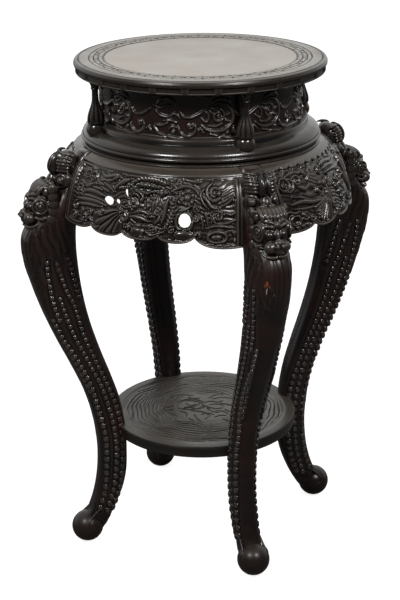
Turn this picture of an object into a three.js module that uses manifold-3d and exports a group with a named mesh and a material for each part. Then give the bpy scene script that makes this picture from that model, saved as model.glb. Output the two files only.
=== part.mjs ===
// A carved hardwood pedestal: a round framed top on a waist with drop ornaments, a moulded collar,
// four bombe aprons, four cabriole legs with beast heads and ball feet, and a round lower shelf.
// Millimetres, +Z up. The origin is on the floor at the centre. The legs stand on the diagonals.
import * as THREE from "three";
import { mergeVertices } from "three/addons/utils/BufferGeometryUtils.js";
import Module from "manifold-3d";

const wasm = await Module();
wasm.setup();

// Driving sizes
const standHeight = 827;
const topRadius = 203;
const topThickness = 21.5;
const waistHeight = 74;
const waistRadius = 164;
const collarHeight = 38;
const collarRadius = 194;
const shelfRadius = 159;
const shelfTopHeight = 211;
const shelfThickness = 20;
const footBallRadius = 27;
const footCircleRadius = 217;

// Sizes of single features
const seamGap = 0.3; // between glued pieces, so that each stays a separate solid
const legCount = 4;
const firstLegDegrees = 45;
const quarterDegrees = 360 / legCount;

const frameBorder = 49; // of frame beside the inset panel
const panelThickness = 9;
const panelSink = 0.6; // the inset panel lies this far below the frame
const nosingHeight = 9;
const nosingInset = 3;
const frameSkirtInset = 2.5;
const splineLength = 36;
const splineWidth = 24;
const splineThickness = 4;
const battenWidth = 30;
const battenThickness = 12;
const battenPostClearance = 7.4; // between a batten and the corners of the leg posts
const battenHousing = 2; // how far the shallow corner of a batten enters the frame

const waistThickness = 11;
const tongueWidth = 5;
const tongueHeight = 4.5;

const dropBallRadius = 13.5;
const dropNeckRadius = 6;
const dropHeadRadius = 13;
const dropStandoff = 13; // from the waist's face to a drop's middle line
const dropSeatEase = 0.6; // extra room for a faceted ball in its seat
const dropBallSink = 4; // how far the ball's centre is below the waist's foot

const collarDowelRadius = 4;
const collarDowelLength = 34;

const apronThickness = 17;
const apronTongueInset = 16; // from the leg's middle plane to a tongue's end
const apronTongueThickness = 7;
const apronTongueHeight = 44;

const postSize = 23;
const postSetback = 2; // between the post and the waist's inner face
const tenonSize = 14;
const tenonHeight = 9;
const tenonEdge = 2.5; // of frame on the inner side of a tenon

const shelfHousing = 12; // how far the shelf's edge enters each leg
const shelfBorder = 18; // of plain shelf round its carved field
const shelfFieldDepth = 0.8;
const shelfDowelRadius = 4.5;
const shelfDowelLength = 44;

const archSteps = 12; // facets in a quarter turn

// Heights that follow from the sizes above
const topUnderside = standHeight - topThickness;
const waistFoot = topUnderside - waistHeight;
const collarFoot = waistFoot - collarHeight;

// Radii that follow from the sizes above
const waistInnerRadius = waistRadius - waistThickness;
const postCentreRadius = waistInnerRadius - postSetback - postSize / 2;
const frameInnerRadius = postCentreRadius - tenonSize / 2 - tenonEdge;
const panelRadius = topRadius - frameBorder;
const dropCentreRadius = waistRadius + dropStandoff;
const far = standHeight + collarRadius; // beyond the object's reach

// Solids and meshes

/** A closed three.js geometry as a manifold solid. */
function solidOf(geometry) {
  const bare = geometry.index ? geometry.toNonIndexed() : geometry.clone();
  bare.deleteAttribute("normal");
  bare.deleteAttribute("uv");
  const merged = mergeVertices(bare, 1e-4);
  return new wasm.Manifold(
    new wasm.Mesh({
      numProp: 3,
      vertProperties: merged.attributes.position.array,
      triVerts: new Uint32Array(merged.index.array),
    }),
  );
}

/** The solid's triangles as a three.js geometry. */
function geometryOf(solid) {
  const made = solid.getMesh();
  const geometry = new THREE.BufferGeometry();
  geometry.setAttribute("position", new THREE.BufferAttribute(new Float32Array(made.vertProperties), 3));
  geometry.setIndex(new THREE.BufferAttribute(new Uint32Array(made.triVerts), 1));
  geometry.computeVertexNormals();
  return geometry;
}

/** A ring turned about Z from a closed outline of [radius, height] points, counter-clockwise. */
function turned(outline, steps = legCount * archSteps) {
  const points = [...outline, outline[0]].map(([radius, height]) => new THREE.Vector2(radius, height));
  return solidOf(new THREE.LatheGeometry(points, steps).rotateX(Math.PI / 2));
}

/** A solid turned about Z whose outline starts and ends on the axis. */
function turnedOnAxis(outline, steps = legCount * archSteps) {
  const points = outline.map(([radius, height]) => new THREE.Vector2(radius, height));
  return solidOf(new THREE.LatheGeometry(points, steps).rotateX(Math.PI / 2));
}

/** A box with its centre at a point. */
function block(sizeX, sizeY, sizeZ, x, y, z) {
  return solidOf(new THREE.BoxGeometry(sizeX, sizeY, sizeZ).translate(x, y, z));
}

/** A round pin along X with its centre at a point. */
function pinAlongX(radius, length, x, y, z, steps = 12) {
  const pin = new THREE.CylinderGeometry(radius, radius, length, steps).rotateZ(Math.PI / 2);
  return solidOf(pin.translate(x, y, z));
}

/** An ellipsoid with its centre at a point. */
function ellipsoid(radiusX, radiusY, radiusZ, x, y, z, steps = 8) {
  const ball = new THREE.SphereGeometry(1, steps, steps - 2).rotateX(Math.PI / 2);
  return solidOf(ball.scale(radiusX, radiusY, radiusZ).translate(x, y, z));
}

/** The solid turned about Z by an angle in degrees. */
function aroundZ(solid, degrees) {
  return solid.rotate([0, 0, degrees]);
}

/** A tall wedge about +X, 90 degrees wide, with each face moved inwards by an inset. */
function quarterWedge(inset) {
  const half = THREE.MathUtils.degToRad(quarterDegrees / 2);
  const apex = inset / Math.sin(half);
  const shape = new THREE.Shape([
    new THREE.Vector2(apex, 0),
    new THREE.Vector2(apex + far * Math.cos(half), -far * Math.sin(half)),
    new THREE.Vector2(apex + far * Math.cos(half), far * Math.sin(half)),
  ]);
  const prism = new THREE.ExtrudeGeometry(shape, { depth: 2 * far, bevelEnabled: false });
  return solidOf(prism.translate(0, 0, -far / 2));
}

const group = new THREE.Group();

const finishes = {
  ebonised_wood: { color: 0x1b1815, roughness: 0.32 },
  top_panel_wood: { color: 0x4a3b32, roughness: 0.3 },
  inner_wood: { color: 0x5c4330, roughness: 0.75 },
};

/** Adds one named piece to the group, turned about Z by an angle in degrees. */
function addPiece(name, solid, finish, degrees = 0) {
  const material = new THREE.MeshStandardMaterial({ ...finishes[finish], metalness: 0 });
  const mesh = new THREE.Mesh(geometryOf(solid), material);
  mesh.name = name;
  mesh.rotation.z = THREE.MathUtils.degToRad(degrees);
  group.add(mesh);
}

// The framed top

/** The inset panel, a plain disc held in the frame's rebate. */
function topPanel() {
  const top = standHeight - panelSink;
  const radius = panelRadius - seamGap;
  return turnedOnAxis([
    [0, top - panelThickness],
    [radius, top - panelThickness],
    [radius, top],
    [0, top],
  ]);
}

const rebateFloor = standHeight - panelSink - panelThickness - seamGap;
const waistTongueRadius = waistRadius - waistThickness / 2;
const splineCentreRadius = (waistTongueRadius + tongueWidth / 2 + topRadius - frameSkirtInset) / 2;
const splineHeight = (topUnderside + rebateFloor) / 2;

/** The outline of a groove that takes a waist tongue, opening up or down from a face. */
function tongueSlot(faceHeight, direction) {
  const low = Math.min(faceHeight - direction, faceHeight + direction * (tongueHeight + seamGap));
  const high = Math.max(faceHeight - direction, faceHeight + direction * (tongueHeight + seamGap));
  const half = tongueWidth / 2 + seamGap;
  return turned([
    [waistTongueRadius - half, low],
    [waistTongueRadius + half, low],
    [waistTongueRadius + half, high],
    [waistTongueRadius - half, high],
  ]);
}

// The legs stand on the diagonals, and this is how far a post's nearest corner is from the middle plane.
const postCornerReach = (postCentreRadius - postSize) / Math.SQRT2;
const battenCentre = postCornerReach - battenPostClearance - battenWidth / 2;

/** A batten under the panel, housed in the frame at both ends, on one side of the centre. */
function batten(side, clearance) {
  const nearEdge = battenCentre - battenWidth / 2;
  const reach = Math.sqrt((frameInnerRadius + battenHousing) ** 2 - nearEdge ** 2);
  return block(
    battenWidth + 2 * clearance,
    2 * (reach + clearance),
    battenThickness + 2 * clearance,
    side * battenCentre,
    0,
    rebateFloor - battenThickness / 2,
  );
}

/** The four tenons of the legs, grown by a clearance. */
function legTenons(clearance) {
  const side = tenonSize + 2 * clearance;
  const tenon = block(side, side, 2 * (tenonHeight + clearance), postCentreRadius, 0, topUnderside);
  return [...Array(legCount).keys()]
    .map((leg) => aroundZ(tenon, firstLegDegrees + leg * quarterDegrees))
    .reduce((joined, next) => joined.add(next));
}

/** A loose tongue across the joint of two frame quarters, at the joint on +X. */
function frameSpline(clearance) {
  return block(
    splineWidth + 2 * clearance,
    splineLength + 2 * clearance,
    splineThickness + 2 * clearance,
    splineCentreRadius,
    0,
    splineHeight,
  );
}

/** The whole ring of the top frame, before it is cut into quarters. */
function topFrameRing() {
  const skirtRadius = topRadius - frameSkirtInset;
  const nosingFoot = standHeight - nosingHeight;
  const outline = [
    [frameInnerRadius, topUnderside + seamGap],
    [skirtRadius - nosingInset, topUnderside + seamGap],
    [skirtRadius, topUnderside + nosingInset],
    [skirtRadius, nosingFoot - 1],
    [topRadius - 0.6, nosingFoot],
    [topRadius, nosingFoot + nosingHeight * 0.4],
    [topRadius - 0.6, standHeight - nosingInset],
    [topRadius - nosingInset, standHeight - 0.6],
    [topRadius - 2 * nosingInset, standHeight],
    [panelRadius, standHeight],
    [panelRadius, rebateFloor],
    [frameInnerRadius, rebateFloor],
  ];
  return turned(outline)
    .subtract(tongueSlot(topUnderside + seamGap, 1))
    .subtract(batten(1, seamGap))
    .subtract(batten(-1, seamGap))
    .subtract(legTenons(seamGap));
}

/** Cuts one quarter out of a ring: the quarter that starts at an angle, with half a seam at each end. */
function quarterOf(ring, startDegrees, inset = seamGap / 2) {
  const wedge = aroundZ(quarterWedge(inset), startDegrees + quarterDegrees / 2);
  return ring.intersect(wedge);
}

const frameRing = topFrameRing();
for (let quarter = 0; quarter < legCount; quarter += 1) {
  const start = quarter * quarterDegrees;
  const slot = frameSpline(seamGap);
  const slots = aroundZ(slot, start).add(aroundZ(slot, start + quarterDegrees));
  addPiece(`top_frame_quarter_${quarter + 1}`, quarterOf(frameRing, start).subtract(slots), "ebonised_wood");
  addPiece(`top_frame_spline_${quarter + 1}`, frameSpline(0), "inner_wood", start);
}
addPiece("top_panel", topPanel(), "top_panel_wood");
addPiece("top_batten_left", batten(-1, 0), "inner_wood");
addPiece("top_batten_right", batten(1, 0), "inner_wood");

// The waist and its drops

/** The ring of the waist, with a tongue on its upper and lower edges. */
function waistRing() {
  const tongueIn = waistTongueRadius - tongueWidth / 2;
  const tongueOut = waistTongueRadius + tongueWidth / 2;
  return turned([
    [waistInnerRadius, waistFoot],
    [tongueIn, waistFoot],
    [tongueIn, waistFoot - tongueHeight],
    [tongueOut, waistFoot - tongueHeight],
    [tongueOut, waistFoot],
    [waistRadius, waistFoot],
    [waistRadius, topUnderside],
    [tongueOut, topUnderside],
    [tongueOut, topUnderside + tongueHeight],
    [tongueIn, topUnderside + tongueHeight],
    [tongueIn, topUnderside],
    [waistInnerRadius, topUnderside],
  ]);
}

/** A drop: a flared head under the top, a slim neck, a fluted bell and a ball, seated on the waist. */
function waistDrop() {
  const head = topUnderside - 0.2;
  const ballCentre = waistFoot - dropBallSink;
  const bell = ballCentre + dropBallRadius;
  const profile = [
    [0, ballCentre - dropBallRadius],
    [dropBallRadius * 0.6, ballCentre - dropBallRadius * 0.8],
    [dropBallRadius, ballCentre],
    [dropBallRadius * 0.8, ballCentre + dropBallRadius * 0.6],
    [dropBallRadius * 0.62, bell - 2],
    [dropBallRadius * 0.72, bell],
    [dropNeckRadius + 3, bell + 12],
    [dropNeckRadius, bell + 28],
    [dropNeckRadius + 0.5, head - 18],
    [dropHeadRadius, head],
    [0, head],
  ];
  const whole = turnedOnAxis(profile, 12).translate([dropCentreRadius, 0, 0]);
  const waistWall = turnedOnAxis([
    [0, -far / 2],
    [waistRadius + seamGap, -far / 2],
    [waistRadius + seamGap, 2 * far],
    [0, 2 * far],
  ]);
  return whole.subtract(waistWall);
}

const waist = waistRing();
for (let quarter = 0; quarter < legCount; quarter += 1) {
  const leg = firstLegDegrees + quarter * quarterDegrees;
  addPiece(`waist_panel_${quarter + 1}`, quarterOf(waist, leg), "ebonised_wood");
  addPiece(`waist_drop_${quarter + 1}`, waistDrop(), "ebonised_wood", leg);
}

// The collar

const collarTop = waistFoot - seamGap;
const collarStepRadius = waistRadius + 9;
const collarGrooveRadius = collarRadius - 7;
const collarDowelRadiusPlace = (waistRadius + collarRadius) / 2;
const collarDowelHeight = collarFoot + collarHeight * 0.45;

/** The collar's ring: a small step, a wide swelling and a fillet over the aprons. */
function collarRing() {
  return turned([
    [waistInnerRadius, collarFoot],
    [collarGrooveRadius + 6, collarFoot],
    [collarGrooveRadius + 6, collarFoot + 3],
    [collarGrooveRadius, collarFoot + 5],
    [collarGrooveRadius + 1, collarFoot + 8],
    [collarRadius - 1, collarFoot + 9],
    [collarRadius, collarFoot + 13],
    [collarRadius - 3, collarFoot + 19],
    [collarRadius - 10, collarFoot + 24.5],
    [collarStepRadius + 2, collarFoot + 29],
    [collarStepRadius, collarFoot + 29],
    [collarStepRadius, collarTop],
    [waistInnerRadius, collarTop],
  ])
    .subtract(tongueSlot(collarTop, -1))
    .subtract(dropSeats());
}

/** Hollows in the collar that clear the drops' balls. */
function dropSeats() {
  const reach = dropBallRadius + seamGap + dropSeatEase;
  const seat = ellipsoid(reach, reach, reach, dropCentreRadius, 0, waistFoot - dropBallSink, 10);
  return [...Array(legCount).keys()]
    .map((leg) => aroundZ(seat, firstLegDegrees + leg * quarterDegrees))
    .reduce((joined, next) => joined.add(next));
}

/** A dowel across the joint of two collar quarters, at the joint on +X. */
function collarDowel(clearance) {
  const along = pinAlongX(collarDowelRadius + clearance, collarDowelLength + 2 * clearance, 0, 0, 0);
  return along.rotate([0, 0, 90]).translate([collarDowelRadiusPlace, 0, collarDowelHeight]);
}

const collar = collarRing();
for (let quarter = 0; quarter < legCount; quarter += 1) {
  const start = quarter * quarterDegrees;
  const hole = collarDowel(seamGap);
  const holes = aroundZ(hole, start).add(aroundZ(hole, start + quarterDegrees));
  addPiece(`collar_quarter_${quarter + 1}`, quarterOf(collar, start).subtract(holes), "ebonised_wood");
  addPiece(`collar_dowel_${quarter + 1}`, collarDowel(0), "inner_wood", start);
}

// The legs' outline

// A leg from its shoulder to its foot: level, outer [radius, height], inner [radius, height] and width.
// Radii and heights count from the foot's centre on level 0, the shelf's edge on 1 and the collar's on 2,
// and from a point between two of these on a level between.
const legStations = [
  [2, [-2, 14.5], [-36, 8.5], 37],
  [2, [20, -8.5], [-16, -25.5], 42],
  [2, [32, -22.5], [-6, -43.5], 46],
  [2, [46, -47.5], [6, -65.5], 53],
  [2, [64, -73.5], [18, -89.5], 58],
  [2, [91, -97.5], [25, -113.5], 61],
  [2, [113, -132.5], [27, -145.5], 62],
  [1.9, [115.5, -125], [28.5, -137], 61],
  [1.7, [110.5, -74], [30, -87], 58],
  [1.5, [102.5, -22], [27, -40], 55],
  [1.35, [87, 0], [16, -22], 52],
  [1.2, [67.5, 18.5], [3, -1.5], 49],
  [1.1, [51, 18.5], [-7.5, 2.5], 46],
  [1, [40.5, 14], [-12.5, 3], 44],
  [1, [34.5, -39], [-15, -43], 43],
  [0.6, [13, 1.5], [-36.5, -0.5], 42.5],
  [0.35, [5, 18], [-45, 24], 42.5],
  [0, [-5, 62], [-51, 62], 41],
  [0, [5, 42], [-34, 31], 38],
  [0, [7, 26], [-17, 9], 29],
];
const legLevels = [
  [footCircleRadius, 0],
  [shelfRadius, shelfTopHeight],
  [collarRadius, collarFoot],
];
const sectionCorners = 12;
const sectionPower = 3.2; // 2 is an ellipse, and more is squarer
const stationSteps = 20;

// A leg's section as [outwards, sideways] points that fit a square of side 2.
const squareSection = [
  [1, 1],
  [-1, 1],
  [-1, -1],
  [1, -1],
];
const roundedSection = [...Array(sectionCorners).keys()].map((corner) => {
  const angle = (2 * Math.PI * (corner + 0.5)) / sectionCorners;
  const [across, side] = [Math.cos(angle), Math.sin(angle)];
  const size = (Math.abs(across) ** sectionPower + Math.abs(side) ** sectionPower) ** (-1 / sectionPower);
  return [across * size, side * size];
});

/** A station's point as a vector in the plane of +X. */
function stationPoint(level, [outwards, upwards]) {
  const below = Math.min(Math.floor(level), legLevels.length - 2);
  const [radius, height] = legLevels[below].map((value, index) =>
    THREE.MathUtils.lerp(value, legLevels[below + 1][index], level - below),
  );
  return new THREE.Vector3(radius + outwards, 0, height + upwards);
}

/** A tube of one section from shoulder to foot, grown by a clearance and lengthened outwards by a reach. */
function legLoft(section = roundedSection, clearance = 0, reach = 0) {
  const curveOf = (pick) => new THREE.CatmullRomCurve3(legStations.map(pick), false, "centripetal");
  const outerLine = curveOf(([level, outer]) => stationPoint(level, outer));
  const innerLine = curveOf(([level, , inner]) => stationPoint(level, inner));
  const corners = section.length;
  const vertices = [];
  const triangles = [];
  for (let step = 0; step <= stationSteps; step += 1) {
    const share = step / stationSteps;
    const outer = outerLine.getPoint(share);
    const inner = innerLine.getPoint(share);
    const outwards = outer.clone().sub(inner).normalize();
    outer.addScaledVector(outwards, reach);
    const centre = outer.clone().lerp(inner, 0.5);
    const halfDepth = outer.distanceTo(inner) / 2 + clearance;
    const halfWidth = legWidthAt(share) / 2 + clearance;
    for (const [across, side] of section) {
      const place = centre.clone().addScaledVector(outwards, across * halfDepth);
      vertices.push(place.x, side * halfWidth, place.z);
    }
  }
  for (let step = 0; step < stationSteps; step += 1) {
    for (let point = 0; point < corners; point += 1) {
      const next = (point + 1) % corners;
      const [a, b] = [step * corners + point, step * corners + next];
      const [c, d] = [a + corners, b + corners];
      triangles.push(a, c, b, b, c, d);
    }
  }
  const last = stationSteps * corners;
  for (let point = 1; point < corners - 1; point += 1) {
    triangles.push(0, point, point + 1);
    triangles.push(last, last + point + 1, last + point);
  }
  const geometry = new THREE.BufferGeometry();
  geometry.setAttribute("position", new THREE.BufferAttribute(new Float32Array(vertices), 3));
  geometry.setIndex(triangles);
  return solidOf(geometry);
}

/** The leg's width at a share of the way from its first station to its last. */
function legWidthAt(share) {
  const place = share * (legStations.length - 1);
  const before = Math.min(Math.floor(place), legStations.length - 2);
  return THREE.MathUtils.lerp(legStations[before][3], legStations[before + 1][3], place - before);
}

// The aprons

// The outer face of an apron as [radius outside the collar, height below the collar].
const apronSwell = [
  [0, 0],
  [10, 5],
  [26, 18],
  [37, 37],
  [46, 62],
  [52, 88],
  [54, 106],
  [54.3, 112.5],
];

const apronFoot = collarFoot - apronSwell.at(-1)[1];

/** The ring that the four aprons are cut from, with its outer face moved outwards by a clearance. */
function apronRing(clearance = 0) {
  const face = apronSwell.map(([out, down]) => [collarRadius + out, collarFoot - seamGap - down]);
  const outer = face.map(([radius, height]) => [radius + clearance, height]);
  const inner = face.map(([radius, height]) => [radius - apronThickness, height]);
  return turned([...outer.reverse(), ...inner]);
}

// The lobes of an apron's lower edge: distance of the middle along it, width and height above its foot.
// The two outer ones run on behind the legs.
const lobes = [
  { centre: -125, width: 70, low: 11 },
  { centre: -60, width: 60, low: 10 },
  { centre: 0, width: 60, low: 11 },
  { centre: 58, width: 56, low: 10 },
  { centre: 134, width: 96, low: 1 },
];
const lobePeak = 19.5; // height above the apron's foot between two lobes

/** What is cut away below the lobes of the apron on +X. */
function lobedEdge() {
  const shape = new THREE.Shape();
  const peak = apronFoot + lobePeak;
  shape.moveTo(-far, apronFoot - far / 4);
  shape.lineTo(-far, peak);
  for (const { centre, width, low } of lobes) {
    const start = centre - width / 2;
    const end = centre + width / 2;
    shape.lineTo(start, peak);
    shape.quadraticCurveTo(start + width * 0.12, apronFoot + low, centre, apronFoot + low);
    shape.quadraticCurveTo(end - width * 0.12, apronFoot + low, end, peak);
  }
  shape.lineTo(far, peak);
  shape.lineTo(far, apronFoot - far / 4);
  const cut = new THREE.ExtrudeGeometry(shape, { depth: far, bevelEnabled: false, curveSegments: 3 });
  // The outline's own x runs along Y here, and the cut runs outwards along X.
  return solidOf(cut.rotateX(Math.PI / 2).rotateZ(Math.PI / 2));
}

// Holes pierced through an apron: [distance from the middle, height above its foot, half width, half height].
const piercings = [
  [-56, 62, 7.5, 6],
  [-24, 76, 3.8, 4.2],
  [-27, 44, 3.4, 3.4],
  [68.5, 43, 8, 10],
];

/** The holes pierced through an apron whose middle is on +X. */
function apronHoles() {
  return piercings
    .map(([across, up, halfWidth, halfHeight]) => {
      const drill = new THREE.CylinderGeometry(1, 1, far, 8).rotateZ(Math.PI / 2);
      return solidOf(drill.scale(1, halfWidth, halfHeight).translate(far / 2, across, apronFoot + up));
    })
    .reduce((joined, next) => joined.add(next));
}

/** A thinner and lower ring that the aprons' end tongues are cut from, grown by a clearance. */
function tongueRing(clearance) {
  const half = apronTongueThickness / 2 + clearance;
  const band = apronSwell
    .map(([out, down]) => [collarRadius + out - apronThickness / 2, collarFoot - seamGap - down])
    .slice(1);
  const outer = band.map(([radius, height]) => [radius + half, height]);
  const inner = band.map(([radius, height]) => [radius - half, height]);
  const high = collarFoot - 24 + clearance;
  const low = high - apronTongueHeight - 2 * clearance;
  const slab = block(4 * far, 4 * far, high - low, 0, 0, (high + low) / 2);
  return turned([...outer.reverse(), ...inner]).intersect(slab);
}

/** The two legs beside the apron on +X, as the slots that they leave in the apron's ring. */
function legSlots() {
  const slot = legLoft(squareSection, seamGap, 40);
  return aroundZ(slot, quarterDegrees / 2).add(aroundZ(slot, -quarterDegrees / 2));
}

/** One apron with its middle on +X, and a tongue at each end. */
function apron() {
  const board = apronRing().intersect(quarterWedge(apronTongueInset)).subtract(legSlots());
  const tongues = tongueRing(0).intersect(quarterWedge(apronTongueInset));
  return board.add(tongues).subtract(lobedEdge()).subtract(apronHoles());
}

/** The mortises that the aprons' tongues leave in the leg on +X. */
function tongueMortises() {
  const grown = tongueRing(seamGap).intersect(quarterWedge(apronTongueInset - seamGap));
  return aroundZ(grown, quarterDegrees / 2).add(aroundZ(grown, -quarterDegrees / 2));
}

const apronSolid = apron();
for (let quarter = 0; quarter < legCount; quarter += 1) {
  const middle = firstLegDegrees + (quarter + 0.5) * quarterDegrees;
  addPiece(`apron_${quarter + 1}`, apronSolid, "ebonised_wood", middle);
}

// The legs

/** The post behind the waist, with a knuckle that joins it to the leg and a tenon for the top frame. */
function legPost() {
  const foot = collarFoot - 38;
  const height = topUnderside - foot;
  const knuckleTop = collarFoot - seamGap;
  const knuckleInner = postCentreRadius - postSize / 2;
  const knuckleDepth = collarRadius - 10 - knuckleInner;
  return block(postSize, postSize, height, postCentreRadius, 0, foot + height / 2)
    .add(block(tenonSize, tenonSize, 2 * tenonHeight, postCentreRadius, 0, topUnderside))
    .add(
      block(
        knuckleDepth,
        postSize,
        knuckleTop - foot,
        knuckleInner + knuckleDepth / 2,
        0,
        (knuckleTop + foot) / 2,
      ),
    );
}

// The beast head on the knee as plain ellipsoids: place [radius outside the collar, sideways, height from
// the collar] and half sizes.
const headForms = [
  { name: "crest", place: [50, 0, -23], half: [18, 8, 27] },
  { name: "right shell", place: [47, -18, -22], half: [18, 12, 23] },
  { name: "left shell", place: [47, 18, -22], half: [18, 12, 23] },
  { name: "right ball", place: [53, -16, -47], half: [10, 9, 11] },
  { name: "left ball", place: [53, 16, -47], half: [10, 9, 11] },
  { name: "face", place: [86, 0, -82], half: [27, 28, 35] },
  { name: "muzzle", place: [102, 0, -102], half: [15, 24, 19] },
];

/** The beast head's mass, carved from the leg's own wood and clear of the aprons beside it. */
function legHead() {
  const beside = apronRing(seamGap).intersect(quarterWedge(apronTongueInset));
  return headForms
    .map(({ place, half }) => ellipsoid(...half, collarRadius + place[0], place[1], collarFoot + place[2]))
    .reduce((joined, next) => joined.add(next))
    .subtract(aroundZ(beside, quarterDegrees / 2).add(aroundZ(beside, -quarterDegrees / 2)));
}

/** The ball foot, cut flat where it meets the floor. */
function footBall() {
  const height = footBallRadius - 0.5;
  const ball = ellipsoid(footBallRadius, footBallRadius, footBallRadius, footCircleRadius, 0, height, 14);
  return ball.intersect(block(far, far, far, footCircleRadius, 0, far / 2));
}

/** The dowel that ties the shelf to the leg on +X. */
function shelfDowel(clearance) {
  const length = shelfDowelLength + 2 * clearance;
  const height = shelfTopHeight - shelfThickness / 2;
  return pinAlongX(shelfDowelRadius + clearance, length, shelfRadius - shelfHousing, 0, height);
}

/** The shelf's disc, grown by a clearance. */
function shelfDisc(clearance) {
  const radius = shelfRadius + clearance;
  const low = shelfTopHeight - shelfThickness - clearance;
  const high = shelfTopHeight + clearance;
  const edge = 2;
  return turnedOnAxis([
    [0, low],
    [radius - edge, low],
    [radius, low + edge],
    [radius, high - edge],
    [radius - edge, high],
    [0, high],
  ]);
}

/** One leg in the vertical plane of +X, level at its shoulder and on the floor. */
function leg() {
  const top = collarFoot - seamGap;
  const belowCollar = block(2 * far, 2 * far, top, 0, 0, top / 2);
  return legLoft()
    .intersect(belowCollar)
    .add(legHead())
    .add(legPost())
    .add(footBall())
    .subtract(tongueMortises())
    .subtract(shelfDisc(seamGap))
    .subtract(shelfDowel(seamGap));
}

const legSolid = leg();
for (let quarter = 0; quarter < legCount; quarter += 1) {
  const degrees = firstLegDegrees + quarter * quarterDegrees;
  addPiece(`leg_${quarter + 1}`, legSolid, "ebonised_wood", degrees);
  addPiece(`shelf_dowel_${quarter + 1}`, shelfDowel(0), "inner_wood", degrees);
}

// The shelf

/** The shelf with a slightly sunk round field on top, and a hole for each leg's dowel. */
function shelf() {
  const holes = [...Array(legCount).keys()]
    .map((index) => aroundZ(shelfDowel(seamGap), firstLegDegrees + index * quarterDegrees))
    .reduce((joined, next) => joined.add(next));
  const fieldRadius = shelfRadius - shelfBorder;
  const field = turnedOnAxis([
    [0, shelfTopHeight - shelfFieldDepth],
    [fieldRadius, shelfTopHeight - shelfFieldDepth],
    [fieldRadius, 2 * shelfTopHeight],
    [0, 2 * shelfTopHeight],
  ]);
  return shelfDisc(0).subtract(holes).subtract(field);
}

addPiece("shelf", shelf(), "ebonised_wood");

export default group;
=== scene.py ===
import math

import bmesh
import bpy
import numpy as np
from mathutils import Matrix


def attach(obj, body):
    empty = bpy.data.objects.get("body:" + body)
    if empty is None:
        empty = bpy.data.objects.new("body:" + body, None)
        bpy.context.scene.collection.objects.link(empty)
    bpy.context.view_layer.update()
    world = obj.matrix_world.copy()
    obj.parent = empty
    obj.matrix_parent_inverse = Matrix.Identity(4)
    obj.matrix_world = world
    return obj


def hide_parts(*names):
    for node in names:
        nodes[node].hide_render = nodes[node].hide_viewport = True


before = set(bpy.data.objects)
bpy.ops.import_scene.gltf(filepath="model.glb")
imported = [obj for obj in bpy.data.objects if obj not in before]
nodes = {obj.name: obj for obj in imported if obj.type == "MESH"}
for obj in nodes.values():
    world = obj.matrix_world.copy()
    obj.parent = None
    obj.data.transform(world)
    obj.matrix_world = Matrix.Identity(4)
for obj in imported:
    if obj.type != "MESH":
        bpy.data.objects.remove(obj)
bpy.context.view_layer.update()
bpy.ops.object.select_all(action="DESELECT")

# Sizes are in millimetres and turned to metres where a mesh is made.
MM = 0.001
# The numbers of the CAD nodes and the degrees that they stand at about the stand's axis.
LEG_PLACES = {2: 135, 3: 225, 4: 315, 1: 45}
WAIST_PLACES = {1: 90, 2: 180, 3: 270, 4: 0}
DRAGON_PLACES = {1: 90, 3: 270}
BIRD_PLACES = {2: 180, 4: 0}

# ---------------------------------------------------------------- lines and shells


def smooth_line(points, steps):
    """A smooth curve through points, with a number of steps between two of them."""
    points = np.array(points, float)
    ends = np.vstack([2 * points[0] - points[1], points, 2 * points[-1] - points[-2]])
    parts = []
    for before, start, end, after in zip(ends, ends[1:], ends[2:], ends[3:]):
        near, here, far = (max(np.linalg.norm(b - a), 1e-6) ** 0.5
                           for a, b in ((before, start), (start, end), (end, after)))
        leave = ((start - before) / near - (end - before) / (near + here) + (end - start) / here) * here
        reach = ((end - start) / here - (after - start) / (here + far) + (after - end) / far) * here
        u = np.arange(steps)[:, None] / steps
        parts.append(start * (2 * u ** 3 - 3 * u ** 2 + 1) + leave * (u ** 3 - 2 * u ** 2 + u)
                     + end * (3 * u ** 2 - 2 * u ** 3) + reach * (u ** 3 - u ** 2))
    return np.vstack(parts + [points[-1:]])


def run_along(line):
    """The distance from a line's start to each of its points."""
    return np.concatenate([[0], np.cumsum(np.linalg.norm(np.diff(line, axis=0), axis=1))])


def point_along(line, run, places):
    """The points of a line at one or more distances from its start."""
    return np.array([np.interp(places, run, line[:, k]) for k in range(line.shape[1])]).T


def nearest_on(line, place):
    """How far places lie from a line, how far along it, on which side (-1 or 1), and the line's length."""
    gap = np.full(len(place), 1e9)
    along, side, run = np.zeros(len(place)), np.zeros(len(place)), 0.0
    for start, end in zip(line[:-1], line[1:]):
        step = end - start
        length = math.hypot(*step)
        if length < 1e-6:
            continue
        share = np.clip((place - start) @ step / length ** 2, 0, 1)
        off = place - start - share[:, None] * step
        reach = np.hypot(off[:, 0], off[:, 1])
        closer = reach < gap
        gap[closer] = reach[closer]
        along[closer] = run + share[closer] * length
        side[closer] = np.sign(step[0] * off[closer, 1] - step[1] * off[closer, 0])
        run += length
    return gap, along, side, run


def grid_faces(rows, columns, first=0, closed=False):
    """The quads of a grid of points numbered row by row. A closed one joins its last column to its first."""
    here = first + np.arange(rows * columns).reshape(rows, columns)
    if closed:
        here = np.hstack([here, here[:, :1]])
    return np.stack([here[:-1, :-1], here[:-1, 1:], here[1:, 1:], here[1:, :-1]], -1).reshape(-1, 4).tolist()


def capped_faces(rows, columns):
    """The faces of a closed grid whose two ends are fans about two points that come after it."""
    faces = grid_faces(rows, columns, closed=True)
    first, last, low = rows * columns, rows * columns + 1, (rows - 1) * columns
    for k in range(columns):
        after = (k + 1) % columns
        faces += [(first, after, k), (last, low + k, low + after)]
    return faces


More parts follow.
